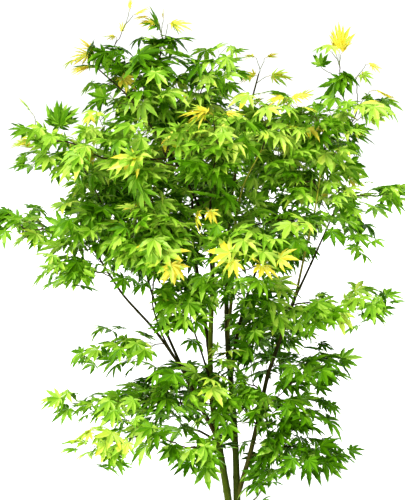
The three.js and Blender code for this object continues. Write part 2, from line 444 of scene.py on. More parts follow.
    def _rooted(self, line: LimbLine, carrier: LimbLine) -> LimbLine:
        """Lead a line on down its own slope to where it meets the middle of its carrier.

        Args:
            line: The line.
            carrier: The line of the limb that it grows from.

        Returns:
            The line, led on.
        """
        foot, slope = line.places[0], unit(line.places[0] - line.places[3])
        away = carrier.places - foot
        along = away @ slope
        missed = np.linalg.norm(away - along[:, None] * slope, axis=1)
        root = carrier.places[np.where((along > 0) & (along < self.deepest), missed, np.inf).argmin()]
        speed = -slope * np.linalg.norm(foot - root)
        lead = curve(root, speed, foot, speed, self.lead_points + 1)[:-1]
        radii = np.concatenate([np.full(self.lead_points, line.radii[0]), line.radii])
        return LimbLine(line.name, np.vstack([lead, line.places]), radii)


# ---------------------------------------------------------------- bark


@dataclass
class BarkSkin:
    """A limb's bark: a tube along its line, with a collar at its foot, and swellings where buds were.

    Attributes:
        sides: How many sides the tube has.
        step: The distance between its rings.
        fewest_rings: How many rings it has at least.
        stoutness: How much wider than its solid the limb is.
        collar: How much the foot swells, as a share of the radius.
        collar_length: How fast the collar fades, in radii.
        node_gap: The usual distance between two pairs of old buds.
        node_first: Where the first pair sits, in such distances.
        node_spread: How far from its usual place a pair sits, in such distances.
        node_swelling: How much the limb swells there, as a share of the radius.
        node_length: How long such a swelling is.
        relief: How far the bark's ridges rise, as a share of the radius.
        ridges: The fewest and the most ridges that one of its waves has.
        drift: How far a wave may wind round the limb, in radians for each metre.
        pulses: How often a wave may fade, in radians for each metre.
        fading: How much of it fades.
        end_crown: How far the cut end bulges, in radii.
    """

    sides: int = 18
    step: float = 0.0045
    fewest_rings: int = 6
    stoutness: float = 1.08
    collar: float = 0.5
    collar_length: float = 1.5
    node_gap: float = 0.07
    node_first: float = 0.6
    node_spread: float = 0.3
    node_swelling: float = 0.13
    node_length: float = 0.004
    relief: float = 0.035
    ridges: tuple[int, int] = (2, 7)
    drift: float = 14.0
    pulses: tuple[float, float] = (20.0, 60.0)
    fading: float = 0.4
    end_crown: float = 0.4

    def build(
        self, line: LimbLine, finish: bpy.types.Material, chance: np.random.Generator
    ) -> bpy.types.Object:
        """Draw the limb's bark.

        Args:
            line: The limb's middle line.
            finish: The bark's material.
            chance: Where the bark's unevenness comes from.

        Returns:
            The piece, with its grain stored for the material.
        """
        length = line.along[-1]
        along = np.linspace(0.0, length, max(int(length / self.step), self.fewest_rings))
        places, radii = line.at(along)
        swelling = self._swelling(along, radii[0], chance)
        headings = unit(np.gradient(places, axis=0))
        first = self._carried(headings)
        second = np.cross(headings, first)
        turns = circle(self.sides)
        spread = (radii * swelling)[:, None] * (1 + self._relief(along, turns, chance))
        rings = first[:, None] * np.cos(turns)[:, None] + second[:, None] * np.sin(turns)[:, None]
        vertices = places[:, None] + rings * spread[:, :, None]
        grain = np.stack(
            [
                np.outer(radii, np.cos(turns)),
                np.outer(radii, np.sin(turns)),
                np.repeat(along[:, None], self.sides, axis=1),
            ],
            axis=-1,
        )
        middle = places[-1] + headings[-1] * radii[-1] * self.end_crown
        vertices = np.vstack([vertices.reshape(-1, 3), middle])
        grain = np.vstack([grain.reshape(-1, 3), [0, 0, length]])
        last = (len(along) - 1) * self.sides + np.arange(self.sides)
        cap = np.stack([last, np.roll(last, -1), np.full(self.sides, len(vertices) - 1)], axis=1)
        faces = np.vstack([tube_faces(len(along), self.sides), cap])
        piece = make_piece(f"bark_{line.name}", vertices, faces, [finish], np.zeros(len(faces)))
        stored = piece.data.attributes.new(GRAIN, "FLOAT_VECTOR", "POINT")
        stored.data.foreach_set("vector", grain.astype(np.float32).ravel())
        return piece

    def _swelling(self, along: np.ndarray, foot_radius: float, chance: np.random.Generator) -> np.ndarray:
        """Find how much the collar and the old buds swell the limb.

        Args:
            along: The rings' distances from the foot.
            foot_radius: The limb's radius there.
            chance: Where the unevenness comes from.

        Returns:
            Each ring's swelling, as a share of its radius.
        """
        swelling = self.stoutness + self.collar * np.exp(-along / (self.collar_length * foot_radius))
        for node in np.arange(self.node_gap * self.node_first, along[-1], self.node_gap):
            node += chance.uniform(-self.node_spread, self.node_spread) * self.node_gap
            swelling += self.node_swelling * np.exp(-(((along - node) / self.node_length) ** 2))
        return swelling

    def _carried(self, headings: np.ndarray) -> np.ndarray:
        """Carry one side direction along a line without letting it twist.

        Args:
            headings: The way of the line at each of its points.

        Returns:
            A direction across the line at each point.
        """
        side = unit(np.cross(headings[0], ASKEW))
        sides = []
        for heading in headings:
            side = unit(side - heading * (side @ heading))
            sides.append(side)
        return np.array(sides)

    def _relief(self, along: np.ndarray, turns: np.ndarray, chance: np.random.Generator) -> np.ndarray:
        """Make ridges that run along the limb and wander round it.

        Args:
            along: The rings' distances from the foot.
            turns: The turns of a ring's vertices.
            chance: Where the ridges come from.

        Returns:
            How far each vertex stands out, as a share of the radius.
        """
        total = np.zeros((len(along), len(turns)))
        fewest, most = self.ridges
        for order in range(fewest, most + 1):
            drift = chance.uniform(-self.drift, self.drift)
            phase = chance.uniform(0, math.tau, 2)
            wave = np.sin(along * chance.uniform(*self.pulses) + phase[1])
            pulse = 1 - self.fading + self.fading * wave
            wave = np.sin(order * turns[None, :] + drift * along[:, None] + phase[0])
            total += wave * pulse[:, None] / order
        return self.relief * total


@dataclass
class TrunkSkin:
    """The trunk's bark, flared at its foot and flowing into the feet of the two stems.

    Attributes:
        sides: How many directions its outline is felt in.
        felt: The lowest and the highest outline.
        unfelt: Its radius where nothing is felt.
        rounding: How often each outline is rounded off.
        step: The height between two outlines.
        below: How far below the ground the body starts, before it is cut off level.
        shoulder: The height at which the trunk closes between the stems.
        dome: How far round it goes there in height and in width, in radians.
        dome_rings: How many outlines that takes.
        waist: How far its outline narrows up there, as shares along and across the line between the stems.
        stub: The heights between which the stems' feet belong to this skin.
        stub_rings: How many outlines such a foot has.
        welt: How much thicker than the stem it starts.
        welt_fading: The power by which it gets thinner.
        sunk: How far below the stem's own bark it ends.
        fineness: The size of the skin's faces.
        smoothing: How often the fork is smoothed.
        relief: How far the bark's ridges rise.
        waviness: How fast they change round the trunk and up it.
        layers: How fast each finer layer of them fades, how much finer it is, and how many there are.
    """

    sides: int = 60
    felt: tuple[float, float] = (0.003, 0.105)
    unfelt: float = 0.02
    rounding: int = 3
    step: float = 0.004
    below: float = 0.008
    shoulder: float = 0.124
    dome: tuple[float, float] = (1.57, 1.5)
    dome_rings: int = 4
    waist: tuple[float, float] = (0.88, 0.6)
    stub: tuple[float, float] = (0.02, 0.175)
    stub_rings: int = 24
    welt: float = 0.006
    welt_fading: float = 2.5
    sunk: float = 0.0009
    fineness: float = 0.0021
    smoothing: int = 12
    relief: float = 0.0009
    waviness: tuple[float, float] = (3.74, 37.4)
    layers: tuple[float, float, int] = (0.8, 2.1, 4)

    def build(self, stems: list[LimbLine], finish: bpy.types.Material) -> bpy.types.Object:
        """Draw the trunk's bark.

        Args:
            stems: The lines of the stems that rise from the trunk.
            finish: The bark's material.

        Returns:
            The piece, with its grain stored for the material.
        """
        left, right = (stem.at(np.zeros(1))[0][0] for stem in stems)
        fork = math.atan2(right[1] - left[1], right[0] - left[0])
        parts = [self._foot(fork), *(self._stub(stem) for stem in stems)]
        vertices, faces, count = [], [], 0
        for places, numbers in parts:
            vertices.append(places)
            faces.append(numbers + count)
            count += len(places)
        rough = np.vstack(faces)
        draft = make_piece("trunk_draft", np.vstack(vertices), rough, [finish], np.zeros(len(rough)))
        remesh = draft.modifiers.new("fuse", "REMESH")
        remesh.mode = "VOXEL"
        remesh.voxel_size = self.fineness
        soften = draft.modifiers.new("soften", "SMOOTH")
        soften.iterations = self.smoothing
        graph = bpy.context.evaluated_depsgraph_get()
        mesh = bpy.data.meshes.new_from_object(draft.evaluated_get(graph))
        bpy.data.objects.remove(draft)
        self._finish(mesh)
        mesh.materials.clear()
        mesh.materials.append(finish)
        piece = bpy.data.objects.new("bark_trunk", mesh)
        bpy.context.scene.collection.objects.link(piece)
        return piece

    def _foot(self, fork: float) -> tuple[np.ndarray, np.ndarray]:
        """Feel the trunk's solid from its axis outwards, and draw a closed body through what is felt.

        Args:
            fork: The turn of the line between the stems.

        Returns:
            The body's vertices and its triangles.
        """
        solid = solid_of(triangles_of("trunk"))
        turns = circle(self.sides)
        top = self.felt[1]
        heights = np.arange(*self.felt, self.step)
        felt = np.full((len(heights), self.sides), self.unfelt)
        for row, height in enumerate(heights):
            for column, turn in enumerate(turns):
                hit = solid.ray_cast(Vector((0, 0, height)), Vector((math.cos(turn), math.sin(turn), 0)))
                if hit[0] is not None:
                    felt[row, column] = hit[3]
        for _ in range(self.rounding):
            felt = (np.roll(felt, 1, axis=1) + 2 * felt + np.roll(felt, -1, axis=1)) / 4
        dome = np.linspace(0, 1, self.dome_rings + 1)[1:, None]
        rise, close = self.dome
        domed = top + (self.shoulder - top) * np.sin(dome[:, 0] * rise)
        heights = np.concatenate([[-self.below], heights, domed])
        felt = np.vstack([felt[:1], felt, felt[-1:] * np.cos(dome * close)])
        risen = np.clip(heights / top, 0, 1)[:, None]
        along, across = self.waist
        felt = felt * (1 - risen * (1 - across - (along - across) * np.cos(turns - fork) ** 2))
        rings = np.stack([np.cos(turns), np.sin(turns)], axis=1)
        flat = felt[:, :, None] * rings[None]
        vertices = np.concatenate([flat, np.repeat(heights[:, None, None], self.sides, axis=1)], axis=2)
        return self._closed(vertices)

    def _stub(self, stem: LimbLine) -> tuple[np.ndarray, np.ndarray]:
        """Draw the foot of a stem, from inside the trunk to where the stem's own bark covers it.

        Args:
            stem: The stem's line.

        Returns:
            The body's vertices and its triangles.
        """
        heights = np.linspace(*self.stub, self.stub_rings)
        along = np.interp(heights, stem.places[:, 2], stem.along)
        places, radii = stem.at(along)
        places[:, 2] = heights
        share = np.linspace(0, 1, self.stub_rings)
        radii = radii + self.welt * (1 - share) ** self.welt_fading - self.sunk * share
        turns = circle(self.sides // 2)
        rings = np.stack([np.cos(turns), np.sin(turns), 0 * turns], axis=1)
        return self._closed(places[:, None] + rings[None] * radii[:, None, None])

    def _closed(self, rings: np.ndarray) -> tuple[np.ndarray, np.ndarray]:
        """Close a body of rings at both ends.

        Args:
            rings: The body's rings, from below.

        Returns:
            The body's vertices and its triangles.
        """
        count, sides = rings.shape[:2]
        vertices = np.vstack([rings.reshape(-1, 3), rings[0].mean(axis=0), rings[-1].mean(axis=0)])
        first, last = np.arange(sides), (count - 1) * sides + np.arange(sides)
        below = np.stack([np.roll(first, -1), first, np.full(sides, count * sides)], axis=1)
        above = np.stack([last, np.roll(last, -1), np.full(sides, count * sides + 1)], axis=1)
        return vertices, np.vstack([tube_faces(count, sides), below, above])

    def _finish(self, mesh: bpy.types.Mesh) -> None:
        """Raise the bark's ridges, cut the trunk off level with the ground and store the grain.

        Args:
            mesh: The fused bodies.
        """
        shape = bmesh.new()
        shape.from_mesh(mesh)
        shape.normal_update()
        moves = []
        round_it, up_it = self.waviness
        for vertex in shape.verts:
            turn = math.atan2(vertex.co.y, vertex.co.x)
            place = Vector((round_it * math.cos(turn), round_it * math.sin(turn), up_it * vertex.co.z))
            moves.append(vertex.normal * self.relief * noise.fractal(place, *self.layers))
        for vertex, move in zip(shape.verts, moves):
            vertex.co += move
        everything = shape.verts[:] + shape.edges[:] + shape.faces[:]
        cut = bmesh.ops.bisect_plane(
            shape, geom=everything, plane_co=(0, 0, 0), plane_no=(0, 0, 1), clear_inner=True
        )
        rim = [part for part in cut["geom_cut"] if isinstance(part, bmesh.types.BMEdge)]
        bmesh.ops.contextual_create(shape, geom=rim)
        bmesh.ops.triangulate(shape, faces=shape.faces[:])
        for face in shape.faces:
            face.smooth = True
        shape.to_mesh(mesh)
        shape.free()
        places = np.empty(len(mesh.vertices) * 3, np.float32)
        mesh.vertices.foreach_get("co", places)
        mesh.attributes.new(GRAIN, "FLOAT_VECTOR", "POINT").data.foreach_set("vector", places)


# ---------------------------------------------------------------- the crown's room


class CrownSpace:
    """The room that the masses of foliage fill, felt on an even grid of cells.

    Attributes:
        cell: The size of a cell.
        low: The grid's lowest corner.
        owner: For each cell, the number of the mass that holds it, or -1.
        depth: For each cell, how far it is below the crown's surface.
        outward: For each cell, the way out of the crown.
    """

    MARGIN = 5  # cells round the masses
    ROUNDS = 6  # of blurring, before the way out is found

    def __init__(self, masses: list[str], cell: float = 0.018) -> None:
        """Feel the masses' solids.

        Args:
            masses: The masses' nodes.
            cell: The size of a cell.
        """
        self.cell = cell
        corners = [triangles_of(name) for name in masses]
        low = np.min([c.min(axis=(0, 1)) for c in corners], axis=0) - self.MARGIN * cell
        high = np.max([c.max(axis=(0, 1)) for c in corners], axis=0) + self.MARGIN * cell
        self.low = low
        self.owner = np.full(np.ceil((high - low) / cell).astype(int), -1)
        for number, triangles in enumerate(corners):
            self._claim(number, triangles)
        filled = self.owner >= 0
        self.depth, layer = np.zeros(filled.shape), filled.copy()
        while layer.any():
            self.depth += layer * cell
            for axis in range(3):
                layer = layer & np.roll(layer, 1, axis) & np.roll(layer, -1, axis)
        blurred = filled.astype(float)
        for _ in range(self.ROUNDS):
            for axis in range(3):
                blurred = (np.roll(blurred, 1, axis) + 2 * blurred + np.roll(blurred, -1, axis)) / 4
        self.outward = -unit(np.stack(np.gradient(blurred), axis=-1))

    def _claim(self, number: int, triangles: np.ndarray) -> None:
        """Give a mass the cells whose middles lie in its solid.

        Args:
            number: The mass's number.
            triangles: Its solid's triangles.
        """
        solid = solid_of(triangles)
        first = ((triangles.min(axis=(0, 1)) - self.low) / self.cell).astype(int)
        last = ((triangles.max(axis=(0, 1)) - self.low) / self.cell).astype(int) + 1
        for index in np.ndindex(*(last - first)):
            spot = first + index
            middle = Vector(self.low + (spot + 0.5) * self.cell)
            place, normal, _, _ = solid.find_nearest(middle)
            if (middle - place).dot(normal) < 0:
                self.owner[tuple(spot)] = number

    def _index(self, places: np.ndarray) -> tuple[np.ndarray, ...]:
        """Find the cells that hold some places.

        Args:
            places: The places, along the last axis.

        Returns:
            The cells' numbers, axis by axis.
        """
        spots = ((places - self.low) / self.cell).astype(int)
        spots = np.clip(spots, 0, np.array(self.owner.shape) - 1)
        return tuple(np.moveaxis(spots, -1, 0))

    def owners(self, places: np.ndarray) -> np.ndarray:
        """Tell which mass holds each place, or -1."""
        return self.owner[self._index(places)]

    def depths(self, places: np.ndarray) -> np.ndarray:
        """Tell how far below the crown's surface each place is."""
        return self.depth[self._index(places)]

    def ways_out(self, places: np.ndarray) -> np.ndarray:
        """Tell the way out of the crown at each place."""
        return self.outward[self._index(places)]

    def scatter(self, number: int, count: int, chance: np.random.Generator) -> np.ndarray:
        """Pick places in one mass.

        Args:
            number: The mass's number.
            count: How many places to pick.
            chance: Where they come from.

        Returns:
            The places.
        """
        cells = np.argwhere(self.owner == number)
        picked = cells[chance.integers(len(cells), size=count)]
        return self.low + (picked + chance.random((count, 3))) * self.cell


# ---------------------------------------------------------------- sprays


class Tint(Enum):
    """The greens and yellows of the leaves, each as its two tones and its gloss; the darker tone is painted
    shade on one half of every lobe, the lighter painted light on the other.
    """

    SHADE = ("3b6602", "4a7703", 0.1)
    DEEP = ("4f8108", "61940e", 0.14)
    GREEN = ("699b18", "7fb024", 0.24)
    FRESH = ("8dbb30", "a5cd46", 0.34)
    LIME = ("aace44", "bedc5c", 0.4)
    CHARTREUSE = ("c4dc4c", "d4e664", 0.4)
    YOUNG = ("dccc36", "e9dd52", 0.36)


LADDER = list(Tint)
# The usual step on that ladder of the masses in each slot.
LEVEL = {"leaves_deep": 1.0, "leaves_green": 2.1, "leaves_lime": 2.9, "leaves_young": 4.6}


@dataclass(frozen=True)
class Mood:
    """How a mass of foliage differs from the usual of its slot.

    Attributes:
        lift: How many steps of tint lighter it is: partly the mass's own tint, partly painted light where
            the mass lies in the shade of others.
        spread: How much wider apart its twigs end.
    """

    lift: float = 0.0
    spread: float = 1.0


# Some lifts are painted light: they make masses that lie in the shade of others lighter, such as the centre
# and those at the back on the right.
MOODS = {
    "crown_upper_left": Mood(lift=0.5),
    "top_left_shoots": Mood(lift=0.3),
    "crown_middle": Mood(lift=1.1),
    "crown_right": Mood(lift=0.8),
    "back_right": Mood(lift=1.0, spread=1.1),
    "right_upper": Mood(lift=0.4),
    "right_shoulder": Mood(spread=1.35),
    "right_middle": Mood(lift=0.3),
    "right_front": Mood(lift=-0.2, spread=1.15),
    "right_droop": Mood(lift=0.3, spread=1.5),
    "centre": Mood(lift=1.0),
    "centre_front": Mood(lift=-1.0),
    "under_crown": Mood(lift=0.8, spread=1.15),
    "back_lower": Mood(lift=0.5, spread=1.2),
    "left_outer": Mood(spread=1.3),
    "left_shoulder": Mood(lift=0.4, spread=1.2),
    "left_middle": Mood(lift=0.1, spread=0.85),
    "middle_left": Mood(lift=0.2, spread=0.65),
    "hanging_left": Mood(lift=-0.7, spread=0.7),
    "stem_leaves": Mood(lift=-0.7, spread=0.65),
    "lower_left_upper": Mood(lift=0.2, spread=1.5),
    "lower_right_upper": Mood(spread=1.05),
    "lower_right_middle": Mood(lift=-0.1, spread=0.95),
    "back_middle_right": Mood(lift=0.9, spread=1.2),
    "basal_spray": Mood(lift=-0.8),
    "back_middle_left": Mood(spread=0.7),
    "lower_left_tier": Mood(lift=0.2, spread=1.15),
    "left_low": Mood(lift=-0.3),
    "crown_front": Mood(lift=-0.3),
    "crown_front_left": Mood(lift=-0.4),
    "lower_right_skirt": Mood(lift=-0.2),
}


@dataclass
class Spray:
    """The end of a twig, with its leaves.

    Attributes:
        place: Where the twig ends.
        mass: The number of the mass that it belongs to.
        level: Where its leaves stand on the ladder of tints, from shade to young.
        outward: The way out of the crown there.
        depth: How far below the crown's surface it is.
        flush: Whether it is this spring's growth, with narrow leaves that stand out level.
        way: How far its leaves point to +X and up, where that is known.
        size: How large its leaves are, the usual being 1.
        twig: The line of its twig, once grown.
    """

    place: np.ndarray
    mass: int
    level: float
    outward: np.ndarray
    depth: float
    flush: bool = False
    way: tuple[float, float] | None = None
    size: float = 1.0
    twig: np.ndarray | None = None


@dataclass(frozen=True)
class Tuft:
    """Some leaves that show at a place of their own, apart from the rule that fills the masses.

    Attributes:
        place: Where they show, in metres.
        tint: Their tint.
        ways: How far each pair points to +X and up, and how large it is; empty where that is left to chance.
        narrow: Whether they are this spring's growth, narrow and level.
        count: How many twigs end there, when no ways are given.
        size: How large their leaves are then, the usual being 1.
    """

    place: tuple[float, float, float]
    tint: Tint
    ways: tuple[tuple[float, float, float], ...] = ()
    narrow: bool = True
    count: int = 1
    size: float = 1.0


TUFTS = (
    # on the shoots that stand up out of the crown on the left
    Tuft((-0.265, 0.020, 1.455), Tint.YOUNG, ((0.1, 1.0, 0.6), (1.0, 0.0, 0.75))),
    Tuft((-0.285, 0.020, 1.400), Tint.YOUNG, ((0.1, 1.0, 0.5), (-1.0, 0.0, 0.65))),
    Tuft((-0.205, 0.035, 1.450), Tint.YOUNG, ((-1.0, 0.0, 0.75),)),
    Tuft((-0.180, 0.035, 1.435), Tint.YOUNG, ((-1.0, 0.0, 1.0), (1.0, -0.2, 1.05), (-0.1, 1.0, 0.45))),
    Tuft((-0.180, 0.030, 1.410), Tint.DEEP, ((-0.6, 0.6, 1.0), (0.5, -1.0, 1.1)), narrow=False),
    Tuft((-0.175, 0.020, 1.380), Tint.FRESH, ((-1.0, 0.0, 1.25),), narrow=False),
    Tuft((-0.340, 0.000, 1.350), Tint.YOUNG, ((-0.6, 0.8, 1.15), (-1.0, 0.15, 1.3))),
    Tuft((-0.330, 0.000, 1.325), Tint.YOUNG, ((-1.0, 0.0, 1.5),)),
    Tuft((-0.310, -0.015, 1.310), Tint.YOUNG, ((1.0, -0.7, 1.15),), narrow=False),
    Tuft((-0.190, 0.000, 1.340), Tint.CHARTREUSE, ((0.0, -1.0, 0.65),), narrow=False),
    Tuft((-0.300, 0.000, 1.325), Tint.DEEP, narrow=False, count=3, size=1.25),
    Tuft((-0.240, 0.010, 1.335), Tint.DEEP, narrow=False, count=4, size=1.25),
    Tuft((-0.175, 0.010, 1.330), Tint.GREEN, narrow=False, count=3, size=1.25),
    # on those in the middle and on the right
    Tuft((0.060, 0.040, 1.350), Tint.YOUNG, ((1.0, 0.0, 0.75), (-1.0, 0.1, 0.7))),
    Tuft((0.065, 0.040, 1.305), Tint.YOUNG, ((1.0, 0.0, 1.25), (-1.0, 0.0, 0.95))),
    Tuft((0.250, 0.000, 1.350), Tint.YOUNG, ((0.1, 1.0, 1.4), (-0.5, 0.8, 0.95), (0.5, 0.8, 1.05))),
    Tuft((0.210, 0.000, 1.315), Tint.GREEN, ((-0.1, 1.0, 0.8),), narrow=False),
    Tuft((0.245, 0.000, 1.320), Tint.DEEP, ((0.1, -1.0, 1.15), (0.7, -0.7, 1.05)), narrow=False),
    Tuft((0.285, 0.020, 1.305), Tint.LIME, ((1.0, -0.15, 1.0),), narrow=False),
    Tuft((0.310, 0.020, 1.340), Tint.YOUNG, ((1.0, -0.5, 0.8),)),
    Tuft((0.320, 0.020, 1.270), Tint.YOUNG, ((1.0, -0.15, 1.15),)),
    Tuft((0.290, 0.020, 1.235), Tint.GREEN, ((1.0, -0.6, 1.5), (1.0, -0.9, 1.35))),
    # on the crown's sides
    Tuft((-0.490, -0.030, 1.200), Tint.LIME, ((-0.5, 0.8, 1.3),)),
    Tuft((-0.440, -0.025, 1.165), Tint.GREEN, ((0.1, 1.0, 1.1), (0.3, 1.0, 1.1)), narrow=False),
    Tuft((-0.455, -0.030, 1.145), Tint.GREEN, ((-0.6, 0.7, 1.1),), narrow=False),
    Tuft((-0.485, -0.040, 1.135), Tint.YOUNG),
    Tuft((-0.540, -0.030, 0.970), Tint.DEEP, ((-1.0, 0.0, 1.0), (-0.8, -0.6, 1.1)), narrow=False),
    Tuft((0.130, -0.090, 1.235), Tint.YOUNG),
    Tuft((0.270, 0.010, 1.010), Tint.LIME, narrow=False),
    # on its front
    Tuft((-0.050, -0.295, 1.215), Tint.YOUNG, ((-1.0, 0.0, 1.2), (-1.0, 0.3, 0.9), (1.0, 0.1, 0.9))),
    Tuft((-0.325, -0.120, 1.115), Tint.YOUNG, ((-1.0, 0.15, 1.1), (-0.7, -0.4, 0.8))),
    Tuft((-0.085, -0.275, 1.010), Tint.YOUNG, ((-0.3, -1.0, 0.75), (0.8, -0.5, 0.8)), narrow=False),
    Tuft((-0.155, -0.260, 0.890), Tint.YOUNG, ((0.0, -1.0, 0.95),), narrow=False),
    Tuft((0.060, -0.340, 0.870), Tint.YOUNG, narrow=False),
    Tuft((0.000, -0.335, 0.905), Tint.CHARTREUSE, ((-1.0, 0.1, 1.1), (-0.6, -0.7, 1.0)), narrow=False),
    Tuft((0.030, -0.300, 0.950), Tint.FRESH, narrow=False, count=3),
    Tuft((-0.205, -0.275, 1.105), Tint.CHARTREUSE, narrow=False, count=2),
    Tuft((0.165, -0.250, 0.955), Tint.LIME, narrow=False),
    Tuft((-0.155, -0.150, 0.770), Tint.CHARTREUSE, narrow=False),
    Tuft((-0.140, -0.100, 1.010), Tint.DEEP, narrow=False, count=2),
    # grown leaves in the hollow between the forks on the right
    Tuft((0.105, -0.090, 1.090), Tint.FRESH, narrow=False, count=3),
    Tuft((0.155, -0.090, 1.060), Tint.GREEN, narrow=False, count=3),
    Tuft((0.130, -0.090, 1.025), Tint.FRESH, narrow=False, count=3),
    # grown leaves along the crown's lower edge
    Tuft((-0.215, -0.150, 0.815), Tint.GREEN, narrow=False, count=3),
    Tuft((-0.035, -0.200, 0.800), Tint.GREEN, narrow=False, count=3),
    Tuft((-0.265, -0.100, 0.825), Tint.DEEP, narrow=False, count=4),
    Tuft((-0.100, -0.120, 0.805), Tint.DEEP, narrow=False, count=2),
    # grown leaves close to the stems
    Tuft((-0.030, -0.090, 0.600), Tint.LIME, narrow=False, count=2),
    Tuft((-0.035, -0.070, 0.495), Tint.FRESH, narrow=False, count=2),
    Tuft((-0.110, -0.080, 0.520), Tint.GREEN, narrow=False, count=3),
    Tuft((-0.110, -0.110, 0.405), Tint.GREEN, narrow=False, count=2),
    Tuft((0.010, -0.060, 0.540), Tint.DEEP, narrow=False, count=4),
    Tuft((0.030, -0.060, 0.420), Tint.DEEP, narrow=False, count=5),
    Tuft((0.050, -0.070, 0.460), Tint.DEEP, narrow=False, count=3),
    Tuft((0.005, -0.070, 0.400), Tint.GREEN, narrow=False, count=2),
    Tuft((0.065, -0.060, 0.410), Tint.DEEP, narrow=False, count=3),
    Tuft((0.100, -0.050, 0.345), Tint.DEEP, narrow=False, count=4),
    Tuft((0.070, -0.050, 0.300), Tint.DEEP, narrow=False, count=3),
    Tuft((-0.055, -0.030, 0.335), Tint.SHADE, narrow=False),
    # new growth low down on the left
    Tuft((-0.345, -0.130, 0.425), Tint.CHARTREUSE, narrow=False),
    Tuft((-0.295, -0.140, 0.400), Tint.LIME, narrow=False),
    Tuft((-0.430, -0.090, 0.500), Tint.FRESH, narrow=False),
)


@dataclass
class SprayPlan:
    """Deals out the ends of the twigs: darts in each mass, with more of them towards the crown's surface.

    Attributes:
        spacing: The least distance between two twig ends.
        inner_spacing: The same, deep in the crown.
        deep_from: How far below the crown's surface it starts to widen.
        deep_width: Over how much further it widens.
        low_spacing: How much wider it is in the open tiers low down.
        low_from: The height below which the tiers count as low.
        low_width: Over how much further down they grow fully so.
        inset: How far a twig ends below the crown's surface, for its leaves to reach out to it.
        thin: The same at the most, as a share of the mass's own depth.
        first_depth: The depth at which places are tried first, as a multiple of the inset.
        darts: How many places are tried in each mass.
        tuft_room: The share of the spacing that a tuft of new growth claims.
        lit: How much lighter leaves are that face +X, +Y and up, in steps of tint.
        dimming: How much darker they get with the depth, in steps for each metre.
        dim_from: The depth from which they do.
        low_dimming: How much darker they are in the low tiers, in steps.
        fluctuation: How much the tint wanders from spray to spray.
        low_fluctuation: The same in the tiers low down.
        tuft_width: How far apart the twigs of a tuft end whose ways are known.
        tuft_scatter: How far they end from its middle where the ways aren't known.
        tuft_lift: How far they end above their leaves then.
        tuft_back: How far behind them, as a multiple of that, where the leaves are grown.
    """

    spacing: float = 0.046
    inner_spacing: float = 0.062
    deep_from: float = 0.06
    deep_width: float = 0.08
    low_spacing: float = 0.003
    low_from: float = 0.75
    low_width: float = 0.15
    inset: float = 0.022
    thin: float = 0.62
    first_depth: float = 1.4
    darts: int = 700
    tuft_room: float = 0.5
    lit: tuple[float, float, float] = (-0.1, -0.25, 0.5)
    dimming: float = 9.0
    dim_from: float = 0.04
    low_dimming: float = 0.25
    fluctuation: float = 0.75
    low_fluctuation: float = 0.4
    tuft_width: float = 0.01
    tuft_scatter: float = 0.024
    tuft_lift: float = 0.012
    tuft_back: float = 1.5

    def deal(
        self, crown: CrownSpace, levels: list[float], moods: list[Mood], chances: list[np.random.Generator]
    ) -> list[Spray]:
        """Place the sprays of the whole crown.

        Args:
            crown: The crown's room.
            levels: The usual step of each mass on the ladder of tints.
            moods: How each mass differs from the usual.
            chances: Where each mass's darts come from.

        Returns:
            The sprays.
        """
        sprays = [spray for tuft in TUFTS for spray in self._tufted(crown, tuft, chances)]
        for number, chance in enumerate(chances):
            darts = crown.scatter(number, self.darts, chance)
            depths = crown.depths(darts)
            wanted = min(self.inset, self.thin * depths.max())
            best = self.first_depth * wanted
            usual = levels[number] + moods[number].lift
            for place, depth in sorted(zip(darts, depths), key=lambda dart: abs(dart[1] - best)):
                low = np.clip((self.low_from - place[2]) / self.low_width, 0, 1)
                spacing = moods[number].spread * self._spacing(depth, low)
                others = np.array([spray.place for spray in sprays])
                room = np.where([spray.flush for spray in sprays], self.tuft_room, 1.0) * spacing
                if depth < wanted or (np.linalg.norm(others - place, axis=1) < room).any():
                    continue
                outward = crown.ways_out(place[None])[0]
                level = usual + self._lightness(outward, depth, low, chance)
                sprays.append(Spray(place, number, level, outward, depth))
        return sprays

    def _spacing(self, depth: float, low: float) -> float:
        """Find the least distance from one twig end to the next."""
        deep = np.clip((depth - self.deep_from) / self.deep_width, 0, 1)
        return self.spacing + (self.inner_spacing - self.spacing) * deep + self.low_spacing * low

    def _lightness(
        self, outward: np.ndarray, depth: float, low: float, chance: np.random.Generator
    ) -> float:
        """Find how many steps lighter a spray is for where it stands, and by chance.

        Args:
            outward: The way out of the crown there.
            depth: How far below the crown's surface it is.
            low: How far down in the low tiers it is, from 0 to 1.
            chance: Where the unevenness comes from.

        Returns:
            The steps.
        """
        lit = outward @ self.lit - self.dimming * max(depth - self.dim_from, 0) - self.low_dimming * low
        wander = self.fluctuation + (self.low_fluctuation - self.fluctuation) * low
        return lit + wander * chance.normal()

    def _tufted(self, crown: CrownSpace, tuft: Tuft, chances: list[np.random.Generator]) -> list[Spray]:
        """Place the sprays of one tuft.

        Args:
            crown: The crown's room.
            tuft: The tuft.
            chances: Where each mass's unevenness comes from.

        Returns:
            Its sprays.
        """
        middle = np.array(tuft.place)
        outward = crown.ways_out(middle[None])[0]
        cells = np.argwhere(crown.owner >= 0)
        nearest = cells[np.linalg.norm(crown.low + (cells + 0.5) * crown.cell - middle, axis=1).argmin()]
        mass = int(crown.owner[tuple(nearest)])
        level = float(LADDER.index(tuft.tint))
        sprays = []
        for aside, up, size in tuft.ways:
            place = middle + self.tuft_width * np.array([aside, 0, up])
            sprays.append(Spray(place, mass, level, outward, 0.0, tuft.narrow, (aside, up), size))
        if not tuft.ways:
            middle = middle + self.tuft_lift * (UP - self.tuft_back * outward * (not tuft.narrow))
            apart = chances[mass].normal(0, self.tuft_scatter, (tuft.count, 3)) * (tuft.count > 1)
            for place in middle + apart:
                sprays.append(Spray(place, mass, level, outward, 0.0, tuft.narrow, None, tuft.size))
        return sprays


# ---------------------------------------------------------------- twigs


